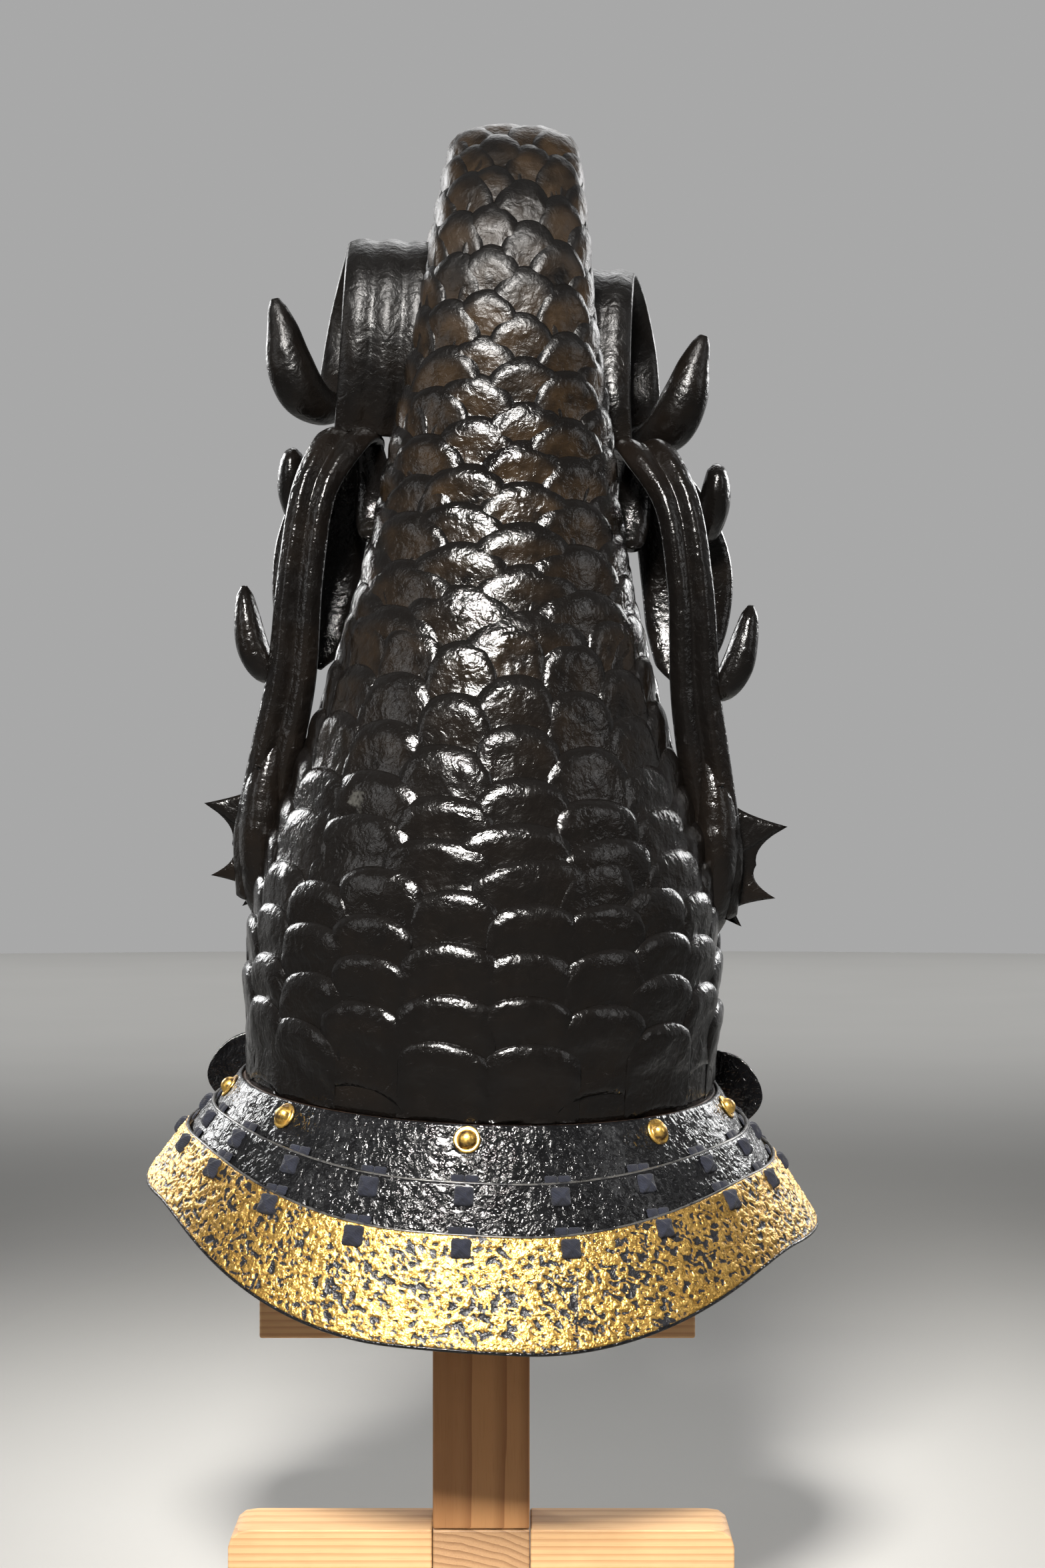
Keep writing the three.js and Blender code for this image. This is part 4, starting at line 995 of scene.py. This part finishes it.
def gold_leaf():
    """Gold leaf over wrinkled black lacquer: black in the pits, with a crack. The gold is painted darker low in
    the wrinkles and brighter on the ridges, as painted shade and light.
    """
    m = Nodes("gold_leaf")
    relief = m.attribute("tint")
    fine = m.noise(420, 3, 0.55, 0.9)
    patches = m.noise(70, 4, 0.6)
    level = m.math("ADD", m.math("MULTIPLY", fine, 0.8), m.math("MULTIPLY", patches, 1.1))
    shown = m.range(m.math("ADD", relief, level), 0.8, 0.95)
    aside = m.math("ADD", m.axis("X"), m.math("MULTIPLY", m.noise(160, 3), CRACK_WANDER))
    aside = m.math("ABSOLUTE", m.math("SUBTRACT", aside, CRACK_PLACE + CRACK_WANDER / 2))
    away = m.math("ABSOLUTE", m.math("SUBTRACT", m.axis("Z"), CRACK_HEIGHT))
    inside = m.range(away, CRACK_REACH, CRACK_REACH - 0.002)
    crack = m.math("MULTIPLY", m.range(aside, 0.0007, 0.0003), inside)
    shown = m.math("MULTIPLY", shown, m.math("SUBTRACT", 1.0, crack))
    # Painted shade and light: the gold's tone follows the relief, darker brown low in the wrinkles and brighter
    # on the ridges.
    tone = m.mix(m.range(relief, -0.5, 0.6), (0.36, 0.17, 0.022), (0.84, 0.54, 0.16))
    color = m.mix(shown, (0.007, 0.007, 0.0085), tone)
    rough = m.range(m.noise(400, 3), 0.3, 0.7, 0.24, 0.4)
    m.bump((fine, 0.6, 1.6), (m.noise(1100, 3), 0.2, 0.25))
    return m.finish(base_color=color, roughness=rough, metallic=shown)


def gilt():
    """Worn gilding on a rivet: brown metal shows on the crown and round the collar."""
    m = Nodes("gilt_brass")
    worn = m.range(m.noise(260, 5, 0.6), 0.46, 0.6)
    color = m.mix(worn, (0.8, 0.5, 0.12), (0.2, 0.12, 0.055))
    rough = m.range(m.noise(500, 4), 0.3, 0.7, 0.24, 0.45)
    m.bump((m.noise(420, 4), 0.3, 0.5))
    return m.finish(base_color=color, roughness=rough, metallic=0.95)


def rim_metal():
    """The rubbed edge of a lame, where dull metal shows through the lacquer."""
    m = Nodes("worn_rim")
    worn = m.range(m.noise(90, 5, 0.6), 0.42, 0.6)
    color = m.mix(worn, (0.012, 0.012, 0.013), (0.16, 0.155, 0.145))
    rough = m.range(m.noise(300, 4), 0.3, 0.7, 0.22, 0.42)
    m.bump((m.noise(420, 4), 0.3, 0.4))
    return m.finish(base_color=color, roughness=rough, metallic=worn)


def indigo_lace():
    """Flat braided silk, faded indigo and matt, with a fine weave and a little fuzz."""
    m = Nodes("indigo_lace")
    weave = m.add("ShaderNodeTexWave", wave_type="BANDS", bands_direction="DIAGONAL")
    m.link(m.place, weave.inputs["Vector"])
    for key, value in (("Scale", 420), ("Distortion", 2.5), ("Detail", 3)):
        m.set(weave, key, value)
    fuzz = m.noise(900, 4, 0.7)
    color = m.mix(m.range(m.noise(140, 4), 0.35, 0.65), (0.0025, 0.0032, 0.008), (0.006, 0.0078, 0.017))
    m.bump((weave.outputs["Fac"], 0.35, 0.4), (fuzz, 0.5, 0.5))
    return m.finish(base_color=color, roughness=0.95, sheen_weight=0.05, sheen_roughness=0.5)


def russet_iron():
    """Matt dark iron with rust in it."""
    m = Nodes("russet_iron")
    color = m.mix(m.range(m.noise(45, 6, 0.65), 0.35, 0.65), (0.02, 0.014, 0.011), (0.05, 0.028, 0.018))
    rough = m.range(m.noise(120, 5), 0.3, 0.7, 0.5, 0.75)
    m.bump((m.noise(300, 5, 0.65), 0.4, 0.5))
    return m.finish(base_color=color, roughness=rough, metallic=0.6)


def pine(name, light, dark, along, heart):
    """Planed softwood, with growth rings about a line along the grain: lines on its faces, arcs on its ends."""
    m = Nodes(name)
    stretch = [1.0, 1.0, 1.0]
    stretch["XYZ".index(along)] = 0.04
    rings = m.add("ShaderNodeTexWave", wave_type="RINGS", rings_direction=along, wave_profile="SAW")
    m.link(m.mapped(stretch, heart), rings.inputs["Vector"])
    for key, value in (("Scale", 95), ("Distortion", 2.6), ("Detail", 3), ("Detail Scale", 0.9)):
        m.set(rings, key, value)
    fibre = m.noise(1500, 4, 0.6, place=m.mapped(stretch))
    late = m.range(rings.outputs["Fac"], 0.45, 0.98)
    cloud = m.noise(14, 4, 0.6)
    color = m.mix(m.math("MULTIPLY", late, 0.85), light, dark)
    color = m.mix(m.range(cloud, 0.45, 0.75, 0, 0.3), color, tuple(c * 0.7 for c in dark))
    color = m.mix(m.range(fibre, 0.55, 0.75, 0, 0.25), color, tuple(c * 0.6 for c in dark))
    rough = m.range(fibre, 0.3, 0.7, 0.45, 0.66)
    m.bump((late, 0.15, 0.3), (fibre, 0.25, 0.18))
    return m.finish(base_color=color, roughness=rough)


lacquer = black_lacquer("black_lacquer", False)
scale_lacquer = black_lacquer("scale_lacquer", True)
wrinkled = wrinkled_lacquer()
gold = gold_leaf()
gilt_brass = gilt()
worn_rim = rim_metal()
lace_silk = indigo_lace()
iron = russet_iron()
post_wood = pine("pine_post", (0.42, 0.205, 0.075), (0.23, 0.09, 0.026), "Z", (0.02, 0.13, 0))
board_wood = pine("pine_board", (0.6, 0.37, 0.18), (0.42, 0.22, 0.09), "X", (0, 0.05, 0.12))
long_wood = pine("pine_long", (0.4, 0.235, 0.115), (0.22, 0.11, 0.046), "Y", (0.03, 0, 0.07))


# Pieces


def dress(obj, material, slot, *nodes):
    """Gives a piece its material and body, and hides the solids that it replaces. Its slot is not used."""
    obj.data.materials.append(material)
    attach(obj, "root")
    if nodes:
        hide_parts(*nodes)


def helmet_piece(name, shape, *rest):
    """A piece of the helmet, from its points, its faces and the tints that it may have."""
    points, faces, *tints = shape
    dress(new_object(name, points, faces, helmet_pose, tints=tints[0] if tints else None), *rest)


helmet_piece("dragon_body", body_shell(), lacquer, "black_lacquer", "body")
for number, word in enumerate(("skirt", "back", "neck")):
    helmet_piece("scales_" + word, scales(number), scale_lacquer, "black_lacquer")

middle_lame = (1, TOP_DEPTH, TOP_DEPTH + MIDDLE_DEPTH, LAME_OVERLAP)
gold_lame = (2, TOP_DEPTH + MIDDLE_DEPTH, TOP_DEPTH + MIDDLE_DEPTH + GOLD_DEPTH, 0)
helmet_piece("guard_top", top_lame(), wrinkled, "wrinkled_lacquer", "lame_top")
middle = lower_lame(*middle_lame, 360, 28, 0.2, 0.5)
helmet_piece("guard_middle", middle, wrinkled, "wrinkled_lacquer", "lame_middle")
helmet_piece("guard_gold", lower_lame(*gold_lame, 620, 64, 0.3, 0.8), gold, "gold_leaf", "lame_gold")
gold_lines = lame_lines(*gold_lame, LOWER_FACETS, 300)
middle_lines = lame_lines(*middle_lame, LOWER_FACETS, 300)
helmet_piece("guard_edge", bead_line(gold_lines, 1.0, EDGE_RADIUS), wrinkled, "wrinkled_lacquer")
rims = joined([bead_line(lines, 0.0, RIM_RADIUS) for lines in (middle_lines, gold_lines)])
helmet_piece("guard_rims", rims, worn_rim, "wrinkled_lacquer")

for word, layer in (("upper", 1), ("lower", 2)):
    nodes = [f"lace_{word}_{i}" for i in range(1, LACE_COLUMNS + 1)]
    helmet_piece("laces_" + word, laces(layer), lace_silk, "indigo_lace", *nodes)
nodes = [f"rivet_{i}" for i in range(1, len(RIVET_FACETS) + 1)]
helmet_piece("rivets", rivets(), gilt_brass, "gilt_brass", *nodes)
helmet_piece("brow_visor", visor(), wrinkled, "wrinkled_lacquer", "visor")

for word, side in (("left", -1), ("right", 1)):
    helmet_piece("frond_curl_" + word, frond(side), lacquer, "black_lacquer", "frond_" + word)
    helmet_piece("fin_blade_" + word, fin(side), lacquer, "black_lacquer", "fin_" + word)
    helmet_piece("scroll_roll_" + word, scroll(side), lacquer, "black_lacquer", "scroll_" + word)

# The bowl and the head pad keep their solids' shapes.
for node, material in (("bowl", iron), ("head_pad", long_wood)):
    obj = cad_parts[node]
    obj.data.materials.clear()
    obj.data.materials.append(material)

half, side = BASE_WIDTH / 2, POST_SIDE / 2
for word, low, high, corner in (
    ("left", -half, -side - GAP, -1),
    ("right", side + GAP, half, 1),
):
    board = plank("board_" + word, (low, -side, 0), (high, side, BASE_HEIGHT), BASE_CORNER, corner)
    dress(board, board_wood, "pine", "base_cross_" + word)
board = plank("board_long", (-side, -BASE_THICKNESS / 2, 0), (side, BASE_REACH, BASE_HEIGHT))
dress(board, long_wood, "pine", "base_long")
for name, node, material in (
    ("post_bar", "post", post_wood),
    ("shoulder_board", "shoulder_bar", board_wood),
):
    low, high = (np.array(corner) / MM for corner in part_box(node))
    dress(plank(name, low, high), material, "pine", node)


# Stage: a pale floor and backdrop, soft lights and the camera of the photograph


def surface(name, color):
    """A matt, nearly even surface."""
    m = Nodes(name)
    tone = m.mix(m.range(m.noise(3, 2), 0.3, 0.7), color, tuple(c * 0.97 for c in color))
    return m.finish(base_color=tone, roughness=0.9)


FLOOR_RADIUS = 6000
FLOOR_SIDES = 96
turns = np.arange(FLOOR_SIDES) * 2 * math.pi / FLOOR_SIDES
floor_points = [(FLOOR_RADIUS * math.cos(a), FLOOR_RADIUS * math.sin(a), 0) for a in turns]
floor = new_object("floor", floor_points, [tuple(range(FLOOR_SIDES))], level_pose, smooth=False)
floor.data.materials.append(surface("pale_floor", (0.42, 0.415, 0.4)))

# The studio is paler beyond the object than behind the camera, so that the lacquer stays deep.
world = bpy.data.worlds.new("studio")
bpy.context.scene.world = world
world.use_nodes = True
tree = world.node_tree
background = tree.nodes["Background"]
direction = tree.nodes.new("ShaderNodeTexCoord")
split = tree.nodes.new("ShaderNodeSeparateXYZ")
tree.links.new(direction.outputs["Generated"], split.inputs[0])
spread = tree.nodes.new("ShaderNodeMapRange")
for key, value in (("From Min", -0.2), ("From Max", 0.9), ("To Min", 0.08), ("To Max", 0.4)):
    spread.inputs[key].default_value = value
tree.links.new(split.outputs["Y"], spread.inputs["Value"])
tree.links.new(spread.outputs["Result"], background.inputs["Strength"])
background.inputs["Color"].default_value = (0.98, 0.98, 0.98, 1)


def light(name, place, target, size, power, angle, color=(1, 1, 1)):
    """A soft rectangular light. Its angle is how wide it spreads, in degrees."""
    data = bpy.data.lights.new(name, "AREA")
    data.shape = "RECTANGLE"
    data.size, data.size_y = size
    data.energy = power
    data.color = color
    data.spread = math.radians(angle)
    obj = bpy.data.objects.new(name, data)
    obj.location = place
    obj.rotation_euler = (Vector(target) - Vector(place)).to_track_quat("-Z", "Y").to_euler()
    bpy.context.scene.collection.objects.link(obj)


light("key", (-0.16, -1.45, 1.36), (0, 0, 0.3), (0.36, 0.3), 4.4, 32, (1, 0.97, 0.93))
light("left_fill", (-1.8, -0.9, 0.9), (0, 0, 0.35), (0.3, 1.2), 1.2, 90)
light("right_fill", (1.8, -0.7, 1.1), (0, 0, 0.35), (0.3, 1.2), 1.2, 90)
light("far_top", (0.2, 1.6, 1.9), (0, 0, 0.4), (1.2, 0.8), 4, 100)
light("floor_far", (0, 4.4, 2.4), (0, 4.4, 0), (9, 4.4), 95, 80)
light("front_left", (-1.3, 1.5, 1.1), (0, 0, 0.42), (0.4, 0.9), 2.6, 60)
light("front_right", (1.3, 1.6, 1.1), (0, 0, 0.42), (0.4, 0.9), 2.2, 60)

# The focal length is 4666 pixels of a picture 2352 pixels high.
CAMERA_PLACE = (0.01875, -1.433, 0.3984)
SENSOR = 36
FOCAL_LENGTH = SENSOR * 4666 / 2352
camera_data = bpy.data.cameras.new("camera")
camera_data.sensor_width = SENSOR
camera_data.sensor_fit = "AUTO"
camera_data.lens = FOCAL_LENGTH
camera = bpy.data.objects.new("camera", camera_data)
camera.location = CAMERA_PLACE
camera.rotation_euler = Euler((math.radians(90), 0, 0))
bpy.context.scene.collection.objects.link(camera)
bpy.context.scene.camera = camera
bpy.context.scene.view_settings.view_transform = "Standard"
